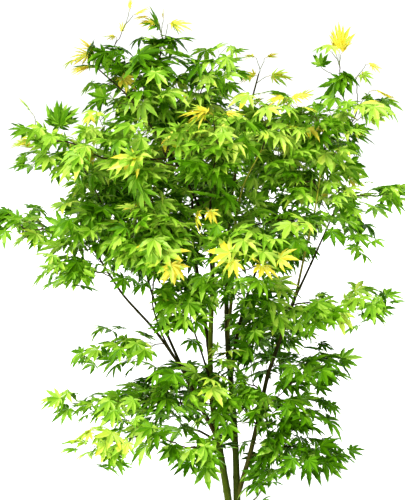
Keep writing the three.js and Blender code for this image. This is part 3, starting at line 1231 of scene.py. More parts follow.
@dataclass
class Twigs:
    """Every twig of the crown as a line of equally many points.

    Attributes:
        lines: The twigs' points.
        radii: Their radius at each point.
        masses: The number of the mass that each belongs to.
        loads: How many sprays hang on each point.
    """

    lines: np.ndarray
    radii: np.ndarray
    masses: np.ndarray
    loads: np.ndarray


@dataclass
class TwigGrowth:
    """Grows twigs from the limbs to the sprays, the cheapest next one first, from a limb or an older twig.

    Attributes:
        sprays: The sprays to reach; each is given its twig.
        crown: The crown's room.
        chance: Where the kinks come from.
        points: How many points a twig is drawn through.
        turning: What it costs to leave at an angle.
        crossing: What it costs to cross open air outside the crown.
        sinking: What it costs to grow downwards.
        leaning: What it costs not to grow straight up to the shoots at the top.
        travel: What it costs to grow on from a place that is already far out.
        spread: How widely a twig swings out as it leaves.
        turn_out: How much it turns out of the crown as it arrives.
        turn_up: How much it turns up.
        kink: How far a twig's buds throw it off its line.
        kink_length: The length from which they do so fully.
        tip_radius: A twig's radius at its end.
        foot_share: How much thicker it is at its foot, apart from what it carries.
        thickening: The power by which a twig thickens with the sprays that it carries.
        stoutest: The thickest that a twig may be, as a share of the limb that it leaves.
        lowest: No twig leaves a limb below this height.
        joint_first: No twig leaves a limb nearer to its foot than this.
        joint_step: The distance between two places where a twig may leave a limb.
        limb_share: How much of the way up a limb counts as travelled.
        tip_travel: How far a limb's free end counts as out.
        joined: How near another limb has to start for an end not to be free.
        leader_way: The least distance to the spray that a free end is led on to, and how straight
            ahead it has to lie.
        leader_aside: How much further such a spray counts the less straight ahead it lies.
        leader_reach: How far it may be, so counted.
        felt_at: Where on the way from a point to a spray the open air is felt.
        nearest: Below this distance a twig is not worth its own joint.
        nearest_cost: What it costs all the same.
        shoots_from: The height from which the shoots at the top stand up.
        shoots_width: Over how much further up they stand fully so.
    """

    sprays: list[Spray]
    crown: CrownSpace
    chance: np.random.Generator
    points: int = 11
    turning: float = 1.1
    crossing: float = 0.9
    sinking: float = 0.8
    leaning: float = 1.2
    travel: float = 0.22
    spread: float = 0.75
    turn_out: float = 0.35
    turn_up: float = 0.3
    kink: float = 0.0009
    kink_length: float = 0.1
    tip_radius: float = 0.00075
    foot_share: float = 1.25
    thickening: float = 0.42
    stoutest: float = 0.7
    lowest: float = 0.2
    joint_first: float = 0.02
    joint_step: float = 0.012
    limb_share: float = 0.3
    tip_travel: float = 0.1
    joined: float = 0.03
    leader_way: tuple[float, float] = (0.04, 0.75)
    leader_aside: float = 3.0
    leader_reach: float = 0.3
    felt_at: tuple[float, ...] = (0.3, 0.55, 0.8)
    nearest: float = 0.03
    nearest_cost: float = 0.1
    shoots_from: float = 1.24
    shoots_width: float = 0.1

    def __post_init__(self) -> None:
        """Set out the goals, and nothing to grow from yet."""
        self.goals = np.array([spray.place for spray in self.sprays])
        self.upright = np.clip((self.goals[:, 2] - self.shoots_from) / self.shoots_width, 0, 1)
        self.waiting = np.ones(len(self.sprays), bool)
        self.cheapest = np.full(len(self.sprays), np.inf)
        self.source = np.zeros(len(self.sprays), int)
        self.places = np.empty((0, 3))
        self.headings = np.empty((0, 3))
        self.travelled = np.empty(0)
        self.parent, self.limit = np.empty(0, int), np.empty(0)
        self.lines: list[np.ndarray] = []
        self.firsts: list[int] = []
        self.ends: list[int] = []

    def grow(self, limbs: list[LimbLine]) -> Twigs:
        """Grow every twig.

        Args:
            limbs: The limbs' lines.

        Returns:
            The twigs.
        """
        for node, radius in self._open(limbs):
            self._lead_on(node, radius)
        self._offer(np.arange(len(self.places)))
        while self.waiting.any():
            goal = int(np.where(self.waiting, self.cheapest, np.inf).argmin())
            self._extend(goal, int(self.source[goal]))
        return self._measured()

    def _open(self, limbs: list[LimbLine]) -> list[tuple[int, float]]:
        """Let twigs leave the limbs, and give the free ends of limbs with their radii.

        Args:
            limbs: The limbs' lines.

        Returns:
            The number of each free end's point, and the limb's radius there.
        """
        leaders = []
        for limb in limbs:
            along = np.arange(self.joint_first, limb.along[-1], self.joint_step)
            places, radii = limb.at(along)
            headings = unit(np.gradient(places, axis=0))
            high = places[:, 2] > self.lowest
            travelled, parents = self.limb_share * along[high], np.full(high.sum(), -1)
            self._add(places[high], headings[high], travelled, parents, radii[high])
            tip, tip_heading = limb.places[-1], unit(limb.places[-1] - limb.places[-4])
            others = [other.places[1] for other in limbs if other is not limb]
            if min(np.linalg.norm(tip - foot) for foot in others) > self.joined:
                travelled, parents = np.array([self.tip_travel]), np.array([-1])
                self._add(tip[None], tip_heading[None], travelled, parents, limb.radii[-1:])
                leaders.append((len(self.places) - 1, limb.radii[-1]))
        return leaders

    def _lead_on(self, node: int, radius: float) -> None:
        """Grow a limb's free end on to the spray that lies best ahead of it.

        Args:
            node: The number of the end's point.
            radius: The limb's radius there.
        """
        away = self.goals - self.places[node]
        distance = np.linalg.norm(away, axis=1)
        straight = unit(away) @ self.headings[node]
        least_distance, least_straight = self.leader_way
        ahead = self.waiting & (straight > least_straight) & (distance > least_distance)
        fit = np.where(ahead, distance * (1 + self.leader_aside * (1 - straight)), np.inf)
        if fit.min() < self.leader_reach:
            self._extend(int(fit.argmin()), node, radius)

    def _add(
        self,
        places: np.ndarray,
        headings: np.ndarray,
        travelled: np.ndarray,
        parents: np.ndarray,
        limits: np.ndarray,
    ) -> None:
        """Take in points from which twigs may leave.

        Args:
            places: The points.
            headings: The way that the limb or twig goes there.
            travelled: How far out they are.
            parents: The number of the point before each, or -1.
            limits: The radius of the limb that each twig there comes from.
        """
        self.places = np.vstack([self.places, places])
        self.headings = np.vstack([self.headings, headings])
        self.travelled = np.concatenate([self.travelled, travelled])
        self.parent = np.concatenate([self.parent, parents])
        self.limit = np.concatenate([self.limit, limits])

    def _offer(self, nodes: np.ndarray) -> None:
        """Let every spray that still waits weigh some new points.

        Args:
            nodes: The new points' numbers.
        """
        away = self.goals[None] - self.places[nodes][:, None]
        distance = np.linalg.norm(away, axis=2) + TINY
        straight = (away * self.headings[nodes][:, None]).sum(axis=2) / distance
        felt_at = np.array(self.felt_at)[:, None]
        between = self.places[nodes][:, None, None] + away[:, :, None] * felt_at
        open_air = (self.crown.owners(between) < 0).mean(axis=2)
        sinking = np.maximum(-away[:, :, 2], 0)
        leaning = self.leaning * self.upright[None] * (distance - away[:, :, 2])
        cost = distance * (1 + self.turning * (1 - straight) + self.crossing * open_air)
        cost += self.sinking * sinking + leaning
        cost += self.travel * self.travelled[nodes][:, None]
        cost += np.where(distance < self.nearest, self.nearest_cost, 0)
        best = cost.argmin(axis=0)
        least = cost[best, np.arange(len(self.goals))]
        better = least < self.cheapest
        self.cheapest = np.where(better, least, self.cheapest)
        self.source = np.where(better, nodes[best], self.source)

    def _extend(self, goal: int, node: int, radius: float = 0.0) -> None:
        """Grow one twig from a point to a spray, and offer its own points to the sprays that wait.

        Args:
            goal: The spray's number.
            node: The point's number.
            radius: The radius of the limb's end that the twig leads on, or 0.
        """
        start, end = self.places[node], self.goals[goal]
        reach = np.linalg.norm(end - start)
        chord = (end - start) / reach
        leave = unit(self.spread * self.headings[node] + chord)
        arrive = unit(chord + self.turn_out * self.sprays[goal].outward + self.turn_up * UP)
        off = self.chance.normal(0, self.kink, (self.points, 3)) * min(reach / self.kink_length, 1)
        off[[0, -1]] = 0
        line = curve(start, leave * reach, end, arrive * reach, self.points) + off
        first = len(self.places)
        steps = np.linalg.norm(np.diff(line, axis=0), axis=1).cumsum()
        parents = np.concatenate([[node], np.arange(first, first + self.points - 2)])
        headings = unit(np.gradient(line, axis=0))[1:]
        limits = np.full(self.points - 1, self.limit[node] if radius == 0 else radius / self.stoutest)
        self._add(line[1:], headings, self.travelled[node] + steps, parents, limits)
        self.lines.append(line)
        self.firsts.append(first)
        self.ends.append(goal)
        self.waiting[goal] = False
        self.sprays[goal].twig = line
        self._offer(np.arange(first, first + self.points - 2))

    def _measured(self) -> Twigs:
        """Give every twig its thickness, from the sprays that it carries.

        Returns:
            The twigs.
        """
        load = np.zeros(len(self.places))
        for first in self.firsts:
            node = first + self.points - 2
            while node >= 0:
                load[node] += 1
                node = self.parent[node]
        radii, loads = [], []
        for first in self.firsts:
            nodes = np.arange(first, first + self.points - 1)
            own = np.concatenate([[load[first]], load[nodes]])
            limit = max(self.stoutest * self.limit[first], self.tip_radius)
            taper = np.linspace(self.foot_share, 1.0, self.points)
            radii.append(np.minimum(self.tip_radius * own**self.thickening * taper, limit))
            loads.append(own)
        masses = np.array([self.sprays[end].mass for end in self.ends])
        return Twigs(np.array(self.lines), np.array(radii), masses, np.array(loads))


# ---------------------------------------------------------------- leaves


@dataclass(frozen=True)
class LeafShape:
    """A palmate leaf's outline, as long lobes that spread from the end of its stalk.

    Attributes:
        angles: Where the lobes on one side point, in degrees from the middle one.
        lengths: How long those lobes are, the middle one being 1.
        sinus: How far out the gaps between the lobes start, as a share of the shorter lobe.
        width: A lobe's greatest half width, as a share of its length.
        stations: How many points a long lobe's edge has.
        fewer: How many fewer a lobe next to the stalk has.
        stalk_gap: How far aside of a lobe its edge next to the stalk starts, in radians.
        stalk_depth: How far out it starts there.
        teeth: How far the teeth stand out, as a share of the width.
        fold: How steeply a lobe's halves rise from its midrib.
        droop: How far the lobes' ends hang down.
        droop_play: Between which shares of that a leaf hangs, and each of its lobes.
        bend: How unevenly lobes bend aside, in radians.
        wander: How unevenly the lobes are set, as a multiple of the usual.
        wander_angle: How unevenly they usually point, in degrees.
        wander_length: How uneven their lengths usually are.
        root_flat: How steeply a leaf's edge rises between two lobes, as a share of the fold.
        notch: How far the edge falls back between the teeth, as a share of how far they stand out.
        shallow: A gap between lobes that starts further out than this starts their edges, too.
        latest: How far along a lobe its edge starts at the most.
        end_share: Where along a lobe its end begins.
    """

    angles: tuple[float, ...] = (36.0, 73.0, 112.0)
    lengths: tuple[float, ...] = (0.95, 0.76, 0.42)
    sinus: float = 0.38
    width: float = 0.13
    stations: int = 7
    fewer: int = 3
    stalk_gap: float = 0.75
    stalk_depth: float = 0.10
    teeth: float = 0.13
    fold: float = 0.42
    droop: float = 0.2
    droop_play: tuple[tuple[float, float], tuple[float, float]] = ((0.1, 1.9), (0.5, 1.5))
    bend: float = 0.09
    wander: float = 1.0
    wander_angle: float = 3.5
    wander_length: float = 0.05
    root_flat: float = 0.35
    notch: float = 0.8
    shallow: float = 0.12
    latest: float = 0.5
    end_share: float = 0.45

    # How wide a lobe is along its length, as shares of both.
    PROFILE = (
        (0.0, 0.35, 0.45, 0.55, 0.66, 0.78, 0.88, 1.0),
        (0.5, 0.85, 0.97, 1.0, 0.84, 0.54, 0.26, 0.0),
    )

    def draw(self, chance: np.random.Generator) -> tuple[np.ndarray, np.ndarray]:
        """Draw one leaf that points along +X, with its stalk at the origin and its upper face to +Z.

        Args:
            chance: Where its unevenness comes from.

        Returns:
            Its vertices and its triangles.
        """
        angles = np.array([-a for a in self.angles[::-1]] + [0.0] + list(self.angles))
        lengths = np.array(list(self.lengths[::-1]) + [1.0] + list(self.lengths))
        angles = np.radians(angles + self.wander * chance.normal(0, self.wander_angle, len(angles)))
        lengths = lengths * (1 + self.wander * chance.normal(0, self.wander_length, len(lengths)))
        whole, single = self.droop_play
        drops = self.droop * chance.uniform(*whole) * chance.uniform(*single, len(angles))
        bends = chance.normal(0, self.bend, len(angles))
        vertices, faces = [], []
        for lobe, (angle, length) in enumerate(zip(angles, lengths)):
            count = self._count(lobe)
            for side in (-1, 1):
                beyond = lobe + side
                if 0 <= beyond < len(angles):
                    gap = (angle + angles[beyond]) / 2
                    depth = self.sinus * min(length, lengths[beyond])
                else:
                    gap, depth = angle + side * self.stalk_gap, self.stalk_depth
                half = self._half_lobe(angle, length, gap, depth, side, count, drops[lobe], bends[lobe])
                start = sum(len(v) for v in vertices)
                vertices.append(half)
                faces.append(self._strip(count, side) + start)
        return np.vstack(vertices), np.vstack(faces)

    def regions(self) -> tuple[np.ndarray, np.ndarray, np.ndarray]:
        """Tell for each triangle which half of its lobe it lies on, whether on its end, and on which lobe.

        Returns:
            The three answers, the first two as 0 or 1.
        """
        counts = [self._count(lobe) for lobe in range(2 * len(self.angles) + 1)]
        halves = np.concatenate([np.repeat([0, 1], 2 * count) for count in counts])
        beyond = [np.arange(2 * count) > self.end_share * 2 * count for count in counts]
        ends = np.concatenate([np.tile(end, 2) for end in beyond])
        return halves, ends.astype(int), np.repeat(np.arange(len(counts)), 4 * np.array(counts))

    def _count(self, lobe: int) -> int:
        """Tell how many points a lobe's edge has: the two short lobes at the stalk have fewer."""
        return self.stations - self.fewer * (lobe in (0, 2 * len(self.angles)))

    def _half_lobe(
        self,
        angle: float,
        length: float,
        gap: float,
        depth: float,
        side: int,
        count: int,
        drop: float,
        bend: float,
    ) -> np.ndarray:
        """Place the midrib and the edge of one half of a lobe.

        Args:
            angle: Where the lobe points.
            length: Its length.
            gap: Where the gap next to this half points.
            depth: How far out that gap starts.
            side: -1 or 1, for the half.
            count: How many points its edge has.
            drop: How far the lobe's end hangs down.
            bend: How far it bends aside.

        Returns:
            The points of the midrib, then those of the edge.
        """
        base = min(depth / length, self.latest) if depth > self.shallow else self.sinus
        reach = np.linspace(base, 1.0, count + 1)
        profile = np.interp(reach, *self.PROFILE)
        width = self.width * profile * length
        width[1:-1] *= 1 + self.teeth * np.where(np.arange(1, count) % 2, 1, -self.notch)
        rib = np.concatenate([[0.0], reach[:-1], [1.0]]) * length
        edge = reach * length
        turn = angle + bend * (rib / length) ** 2
        ribs = np.stack([rib * np.cos(turn), rib * np.sin(turn), -drop * rib**2], axis=1)
        turn = angle + bend * (edge / length) ** 2
        edges = np.stack(
            [
                edge * np.cos(turn) - side * width * np.sin(turn),
                edge * np.sin(turn) + side * width * np.cos(turn),
                self.fold * width - drop * edge**2,
            ],
            axis=1,
        )
        risen = self.root_flat * self.fold * depth - drop * depth**2
        edges[0] = [depth * math.cos(gap), depth * math.sin(gap), risen]
        return np.vstack([ribs[:-1], edges])

    def _strip(self, count: int, side: int) -> np.ndarray:
        """Number the triangles between a midrib and an edge.

        Args:
            count: How many points the edge has.
            side: -1 or 1, for the half.

        Returns:
            The triangles, with their upper face up.
        """
        ribs = np.arange(count + 1)
        edges = count + 1 + np.arange(count + 1)
        faces = [[ribs[0], edges[0], ribs[1]]]
        for k in range(1, count):
            faces.append([ribs[k], edges[k - 1], edges[k]])
            faces.append([ribs[k], edges[k], ribs[k + 1]])
        faces.append([ribs[count], edges[count - 1], edges[count]])
        turned = np.array(faces)
        return turned if side < 0 else turned[:, ::-1]


MATURE = LeafShape()
NARROW = LeafShape(
    angles=(20.0, 42.0, 70.0),
    lengths=(0.93, 0.74, 0.42),
    sinus=0.26,
    width=0.068,
    teeth=0.16,
    fold=0.5,
    droop=0.1,
    wander=1.6,
)


@dataclass
class Foliage:
    """Hangs leaves on the sprays, in opposite pairs that each turn a quarter from the last.

    Attributes:
        chance: Where the unevenness of the leaves' outlines comes from.
        mature: How many different grown leaves there are.
        narrow: How many different leaves of new growth there are.
        blade: A grown leaf's middle lobe.
        front: The Y where leaves start to count as in front, and where they do so fully.
        front_share: How much larger they are there.
        blade_spread: How unevenly leaves are sized.
        young_share: The size of new growth, as a share of that.
        smallest: The smallest share of its usual size that a leaf may have.
        largest: The largest.
        end_sizes: The sizes of the pair at a twig's end and of those behind it, as shares of the usual.
        ahead: How far ahead of a pair its twig's heading is felt.
        behind: How far behind it.
        pair_gap: The usual distance between two pairs.
        flush_gap: The same in new growth.
        third_depth: The depth in the crown down to which a twig has a third pair.
        missing: How often a leaf of the third pair is missing.
        gap_play: Between which shares of it the distance from pair to pair lies.
        lowest_pair: How near to its twig's foot a pair may sit.
        first_turn: How far from level the pair at the end may be turned, in radians.
        openings: How far the stalks of the pair at the end and of those behind it open, in radians.
        opening_spread: How unevenly they do.
        stalk: The usual length of a leaf stalk.
        stalk_play: Between which shares of it a stalk's length lies.
        stalk_growth: How much longer it is from one pair to the next behind it.
        stalk_turn: How much it turns level, and up, on its way to the leaf.
        stalk_rise: How much it rises into the leaf.
        stalk_radius: Its radius.
        stalk_points: How many points it is drawn through.
        hang: How far a grown leaf hangs below level, in degrees.
        hang_spread: How unevenly it does.
        hang_bounds: How far it hangs at the least and at the most.
        hang_top: How much less it hangs on top of the crown, as a share.
        hang_flush: How far a leaf of new growth hangs, and how unevenly.
        aims: How much a leaf points along its stalk, out of the crown, and at random.
        facing: How far a leaf that points aside tips its upper face out of the crown, in degrees.
        roll_spread: How unevenly leaves tip sideways, in degrees.
        way_spread: How unevenly leaves whose way is known point up or down, in degrees.
        way_depth: How unevenly they point to the front or to the back.
        way_own: How much their stalks still go their own way.
        known_stalk: How long their stalks are, as a share of the usual.
        young_from: The step on the ladder of tints from which a spray counts as young.
        ageing: By how many steps each older pair of a young spray is darker.
        tone_spread: How unevenly its leaves are tinted.
        new_from: The step from which a leaf's stalk is new, too.
        side_room: How far a leaf may reach out of the CAD's box sideways.
        top_room: How far it may reach out at the top.
        ground_room: How far above the ground it has to stay.
        lane_behind: How far behind a limb's middle a leaf still counts as in front of it.
    """

    chance: np.random.Generator
    mature: int = 9
    narrow: int = 4
    blade: float = 0.051
    front: tuple[float, float] = (-0.1, -0.3)
    front_share: float = 0.08
    blade_spread: float = 0.15
    young_share: float = 0.94
    smallest: float = 0.68
    largest: float = 1.3
    end_sizes: tuple[float, float] = (0.9, 1.05)
    ahead: float = 0.01
    behind: float = 0.012
    pair_gap: float = 0.03
    flush_gap: float = 0.014
    third_depth: float = 0.07
    missing: float = 0.25
    gap_play: tuple[float, float] = (0.75, 1.3)
    lowest_pair: float = 0.012
    first_turn: float = 0.5
    openings: tuple[float, float] = (0.6, 0.95)
    opening_spread: float = 0.15
    stalk: float = 0.03
    stalk_play: tuple[float, float] = (0.7, 1.3)
    stalk_growth: float = 0.12
    stalk_turn: tuple[float, float] = (0.45, 0.15)
    stalk_rise: float = 0.2
    stalk_radius: float = 0.00055
    stalk_points: int = 4
    hang: float = 11.0
    hang_spread: float = 26.0
    hang_bounds: tuple[float, float] = (-12.0, 78.0)
    hang_top: float = 0.75
    hang_flush: tuple[float, float] = (2.0, 18.0)
    aims: tuple[float, float, float] = (0.8, 0.45, 0.34)
    facing: float = 34.0
    roll_spread: float = 24.0
    way_spread: float = 14.0
    way_depth: float = 0.4
    way_own: float = 0.6
    known_stalk: float = 0.45
    young_from: float = 4.5
    ageing: float = 1.4
    tone_spread: float = 0.5
    new_from: float = 3.6
    side_room: float = 0.026
    top_room: float = 0.035
    ground_room: float = 0.02
    lane_behind: float = 0.01

    STRAYING = (-1, 0, 0, 0, 1)  # by how many steps the tint of a lobe may stray
    END_STRAYING = (-1, 0, 0, 1)  # by how many those of all the lobes' ends may

    def __post_init__(self) -> None:
        """Draw the leaves that are used over and over, with none of them hung yet."""
        kinds = [MATURE] * self.mature + [NARROW] * self.narrow
        drawn = [shape.draw(self.chance) for shape in kinds]
        self.outlines = np.array([vertices for vertices, _ in drawn])
        self.pattern = drawn[0][1]
        self.halves, self.ends, self.lobes = MATURE.regions()
        self.stalks: list[np.ndarray] = []
        self.frames: list[np.ndarray] = []
        self.sizes: list[float] = []
        self.variants: list[int] = []
        self.tones: list[np.ndarray] = []
        self.masses: list[int] = []
        self.luck: list[float] = []

    def hang_all(self, sprays: list[Spray], chances: list[np.random.Generator]) -> None:
        """Hang the leaves of every spray.

        Args:
            sprays: The sprays, with their twigs.
            chances: Where the unevenness of each mass's leaves comes from.
        """
        for spray in sprays:
            chance = chances[spray.mass]
            steps = np.linalg.norm(np.diff(spray.twig, axis=0), axis=1)
            back = np.concatenate([[0.0], steps[::-1].cumsum()])
            gap = self.flush_gap if spray.flush else self.pair_gap
            wanted = 1 if spray.way else 2 + (spray.depth < self.third_depth)
            place, turn = 0.0, chance.uniform(-self.first_turn, self.first_turn)
            for order in range(wanted):
                if place > back[-1] - self.lowest_pair and order:
                    break
                self._pair(spray, back, place, turn, order, chance)
                place += gap * chance.uniform(*self.gap_play)
                turn += math.pi / 2

    def _pair(
        self,
        spray: Spray,
        back: np.ndarray,
        place: float,
        turn: float,
        order: int,
        chance: np.random.Generator,
    ) -> None:
        """Hang one pair of leaves, a given way back from the end of its twig.

        Args:
            spray: The spray.
            back: The distances of the twig's points from its end.
            place: How far back the pair sits.
            turn: How far it is turned from level, in radians.
            order: The pair's number, from the end.
            chance: Where the unevenness comes from.
        """
        spots = [place, max(place - self.ahead, 0), place + self.behind]
        root, ahead, behind = look_up(spots, back, spray.twig[::-1])
        heading = unit(ahead - behind)
        side = unit(np.cross(heading, UP) + TINY)
        other = np.cross(side, heading)
        side = side * math.cos(turn) + other * math.sin(turn)
        opening = self.openings[min(order, 1)]
        for sign in (-1, 1):
            if order == 2 and not spray.flush and chance.random() < self.missing:
                continue
            off = heading * math.cos(opening) + sign * side * math.sin(opening)
            off = unit(off + chance.normal(0, self.opening_spread, 3))
            self._leaf(spray, root, off, order, chance)

    def _leaf(
        self, spray: Spray, root: np.ndarray, off: np.ndarray, order: int, chance: np.random.Generator
    ) -> None:
        """Place one leaf on its stalk.

        Args:
            spray: The spray.
            root: Where its stalk leaves the twig.
            off: The way that the stalk leaves.
            order: The pair's number, from the end.
            chance: Where the unevenness comes from.
        """
        young = (self.young_share if spray.flush else 1.0) * spray.size
        stalk = self.stalk * young * chance.uniform(*self.stalk_play) * (1 + self.stalk_growth * order)
        if spray.way:
            off = unit(self.way_own * off + [spray.way[0], 0, spray.way[1]])
            stalk *= self.known_stalk
        level, hang = self._pointing(spray, off, chance)
        rib = level * math.cos(hang) - UP * math.sin(hang)
        upper = level * math.sin(hang) + UP * math.cos(hang)
        across = np.cross(upper, rib)
        roll = math.radians(self.facing * across @ spray.outward + chance.normal(0, self.roll_spread))
        upper = upper * math.cos(roll) + across * math.sin(roll)
        level_turn, up_turn = self.stalk_turn
        end = root + stalk * unit(off + level_turn * level + up_turn * UP)
        arrive = unit(rib + self.stalk_rise * UP)
        size = self.blade * young * np.clip(chance.normal(1, self.blade_spread), self.smallest, self.largest)
        front = np.clip((self.front[0] - root[1]) / (self.front[0] - self.front[1]), 0, 1)
        variant = self.mature + chance.integers(self.narrow) if spray.flush else chance.integers(self.mature)
        self.stalks.append(curve(root, off * stalk, end, arrive * stalk, self.stalk_points))
        self.frames.append(np.stack([rib, np.cross(upper, rib), upper], axis=1))
        self.sizes.append(size * self.end_sizes[min(order, 1)] * (1 + self.front_share * front))
        self.variants.append(int(variant))
        self.tones.append(self._lobe_tones(spray, order, chance))
        self.masses.append(spray.mass)
        self.luck.append(chance.random())

    def _lobe_tones(self, spray: Spray, order: int, chance: np.random.Generator) -> np.ndarray:
        """Deal out tints to the lobes of one leaf, for their bases and for their ends.

        Args:
            spray: The spray.
            order: The pair's number, from the end.
            chance: Where the unevenness comes from.

        Returns:
            Steps on the ladder of tints: a row for the bases and one for the ends.
        """
        older = self.ageing * order if spray.level > self.young_from and not spray.flush else 0
        usual = round(spray.level - older + chance.normal(0, self.tone_spread))
        steps = usual + chance.choice(self.STRAYING, (2, self.lobes[-1] + 1))
        steps[1] += chance.choice(self.END_STRAYING)
        return np.clip(steps, 0, len(LADDER) - 1)

    def _pointing(
        self, spray: Spray, off: np.ndarray, chance: np.random.Generator
    ) -> tuple[np.ndarray, float]:
        """Find which way a leaf points, and how far it hangs below level.

        Args:
            spray: The spray.
            off: The way that the stalk leaves the twig.
            chance: Where the unevenness comes from.

        Returns:
            The level way, and the hang in radians.
        """
        if spray.way:
            level = np.array([spray.way[0], chance.normal(0, self.way_depth), 0])
            steep = math.degrees(math.atan2(spray.way[1], abs(spray.way[0])))
            return unit(level), math.radians(chance.normal(-steep, self.way_spread))
        onward, outward, astray = self.aims
        level = onward * off + outward * spray.outward + chance.normal(0, astray, 3)
        level[2] = 0
        if spray.flush:
            hang = chance.normal(*self.hang_flush)
        else:
            usual = self.hang * (1 - self.hang_top * spray.outward[2])
            hang = np.clip(chance.normal(usual, self.hang_spread), *self.hang_bounds)
        return unit(level + TINY), math.radians(hang)

    def settle(self, lines: dict[str, LimbLine]) -> None:
        """Work out where every blade lies, and leave out those that reach too far or hide a limb.

        Args:
            lines: The limbs' lines.
        """
        frames, sizes = np.array(self.frames), np.array(self.sizes)
        shapes = self.outlines[self.variants] * sizes[:, None, None]
        self.stalks = np.array(self.stalks)
        self.blades = np.einsum("nij,nvj->nvi", frames, shapes) + self.stalks[:, -1][:, None]
        low = np.array(CAD_BOX[0]) - self.side_room
        high = np.array(CAD_BOX[1]) + [self.side_room, self.side_room, self.top_room]
        low[2] = self.ground_room
        self.kept = ((self.blades >= low) & (self.blades <= high)).all(axis=(1, 2))
        middles = self.blades.mean(axis=1)
        for name, lane in LANES.items():
            places = lines[name].places
            places = places[(places[:, 2] > lane.low) & (places[:, 2] < lane.high)]
            aside = middles[:, None, [0, 2]] - places[None][:, :, [0, 2]]
            ahead = middles[:, None, 1] < places[None, :, 1] + self.lane_behind
            hiding = (ahead & (np.linalg.norm(aside, axis=2) < lane.width)).any(axis=1)
            self.kept &= ~(hiding & (np.array(self.luck) < lane.share))
        self.tones, self.masses = np.array(self.tones), np.array(self.masses)

    def leaves(self, number: int, name: str, finishes: list[bpy.types.Material]) -> bpy.types.Object:
        """Join the blades of one mass.

        Args:
            number: The mass's number.
            name: The mass's node.
            finishes: The material of each tone.

        Returns:
            The piece.
        """
        picked = np.flatnonzero(self.kept & (self.masses == number))
        blades = self.blades[picked]
        count = blades.shape[1]
        faces = (np.arange(len(picked)) * count)[:, None, None] + self.pattern
        steps = self.tones[picked][:, self.ends, self.lobes]
        used, choice = np.unique(steps, return_inverse=True)
        materials = [finish for step in used for finish in finishes[2 * step : 2 * step + 2]]
        # One half of every lobe takes its tint's darker tone and the other the lighter one: painted shade
        # and painted light across the lobe's fold.
        choice = (2 * choice.reshape(steps.shape) + self.halves).ravel()
        return make_piece(f"leaves_{name}", blades.reshape(-1, 3), faces.reshape(-1, 3), materials, choice)

    def stalk_piece(self, number: int, name: str, finishes: list[bpy.types.Material]) -> bpy.types.Object:
        """Join the leaf stalks of one mass.

        Args:
            number: The mass's number.
            name: The mass's node.
            finishes: The materials of grown and of new stalks.

        Returns:
            The piece.
        """
        picked = np.flatnonzero(self.kept & (self.masses == number))
        lines = self.stalks[picked]
        across = unit(np.cross(lines[:, -1] - lines[:, 0], UP) + TINY)
        radii = np.full(lines.shape[:2], self.stalk_radius)
        vertices, faces = sweep(lines, radii, 3, across)
        new = self.tones[picked].mean(axis=(1, 2)) > self.new_from
        choice = np.repeat(new.astype(int), len(faces) // max(len(picked), 1))
        return make_piece(f"stalks_{name}", vertices, faces, finishes, choice)


@dataclass
class TwigSkin:
    """The twigs of one mass, as thin tubes: woody where they carry much, green where they are new.

    Attributes:
        sides: How many sides a twig has.
        woody_load: The number of sprays from which a twig is woody.
        straight: Below this bend a twig counts as straight.
    """

    sides: int = 5
    woody_load: float = 3.0
    straight: float = 0.05

    def build(
        self, twigs: Twigs, number: int, name: str, finishes: list[bpy.types.Material]
    ) -> bpy.types.Object | None:
        """Join the twigs of one mass.

        Args:
            twigs: All twigs.
            number: The mass's number.
            name: The mass's node.
            finishes: The materials of new and of woody twigs.

        Returns:
            The piece, or nothing where no twig belongs to the mass.
        """
        picked = np.flatnonzero(twigs.masses == number)
        if not len(picked):
            return None
        lines, radii = twigs.lines[picked], twigs.radii[picked]
        leave = unit(lines[:, 1] - lines[:, 0])
        across = np.cross(leave, unit(lines[:, -1] - lines[:, 0]))
        flat = np.linalg.norm(across, axis=1) < self.straight
        across[flat] = np.cross(leave[flat], TILTED)
        vertices, faces = sweep(lines, radii, self.sides, unit(across))
        rings = lines.shape[1]
        woody = (twigs.loads[picked] >= self.woody_load).astype(int)[:, : rings - 1]
        choice = np.stack([np.repeat(woody, self.sides, axis=1)] * 2, axis=1).reshape(len(picked), -1)
        return make_piece(f"twigs_{name}", vertices, faces, finishes, choice.ravel())


# ---------------------------------------------------------------- finishes


def principled(name: str) -> tuple[bpy.types.Material, bpy.types.Node]:
    """Start a material with one shader.

    Args:
        name: The material's name.

    Returns:
        The material and its shader.
    """
    material = bpy.data.materials.new(name)
    material.use_nodes = True
    return material, material.node_tree.nodes["Principled BSDF"]


@dataclass(frozen=True)
class PlainFinish:
    """A finish with one colour.

    Attributes:
        name: The material's name.
        colour: Six hexadecimal digits.
        roughness: How matt it is.
        gloss: How strongly its surface mirrors.
    """

    name: str
    colour: str
    roughness: float = 0.5
    gloss: float = 0.2

    def material(self) -> bpy.types.Material:
        """Make the material.

        Returns:
            The material.
        """
        material, shader = principled(self.name)
        shader.inputs["Base Color"].default_value = linear(self.colour)
        shader.inputs["Roughness"].default_value = self.roughness
        shader.inputs["Specular IOR Level"].default_value = self.gloss
        return material


def leaf_finish(tint: Tint, half: int) -> PlainFinish:
    """Give the finish of one half of the lobes in a tint; half 0 has the darker tone, as painted shade, half
    1 the lighter, as painted light.
    """
    *codes, gloss = tint.value
    return PlainFinish(f"leaf_{tint.name.lower()}_{half}", codes[half], LEAF_ROUGHNESS, gloss)


class WoodTone(Enum):
    """The colours of the leaves' stalks and of the twigs."""

    STALK = "6f8f2a"
    STALK_YOUNG = "b9a83c"
    TWIG_GREEN = "5f6a2a"
    TWIG_WOODY = "4b3727"

    def material(self) -> bpy.types.Material:
        """Make the material."""
        return PlainFinish(self.name.lower(), self.value).material()


class BarkTone(Enum):
    """The colours of a limb's bark: low down, high up, and the heights between which it turns."""

    TRUNK = ("4e4e12", "4e5c06", 0.0, 0.2)
    STEM = ("526206", "74841a", 0.36, 0.6)
    SHADED_STEM = ("465406", "47461a", 0.36, 0.7)
    LIMB = ("5d5e20", "413c16", 0.25, 0.6)
    DARK = ("484420", "363016", 0.3, 0.9)
    ROSY = ("63532a", "3f3718", 0.42, 0.6)
    YELLOWISH = ("747028", "c6c848", 0.8, 1.0)


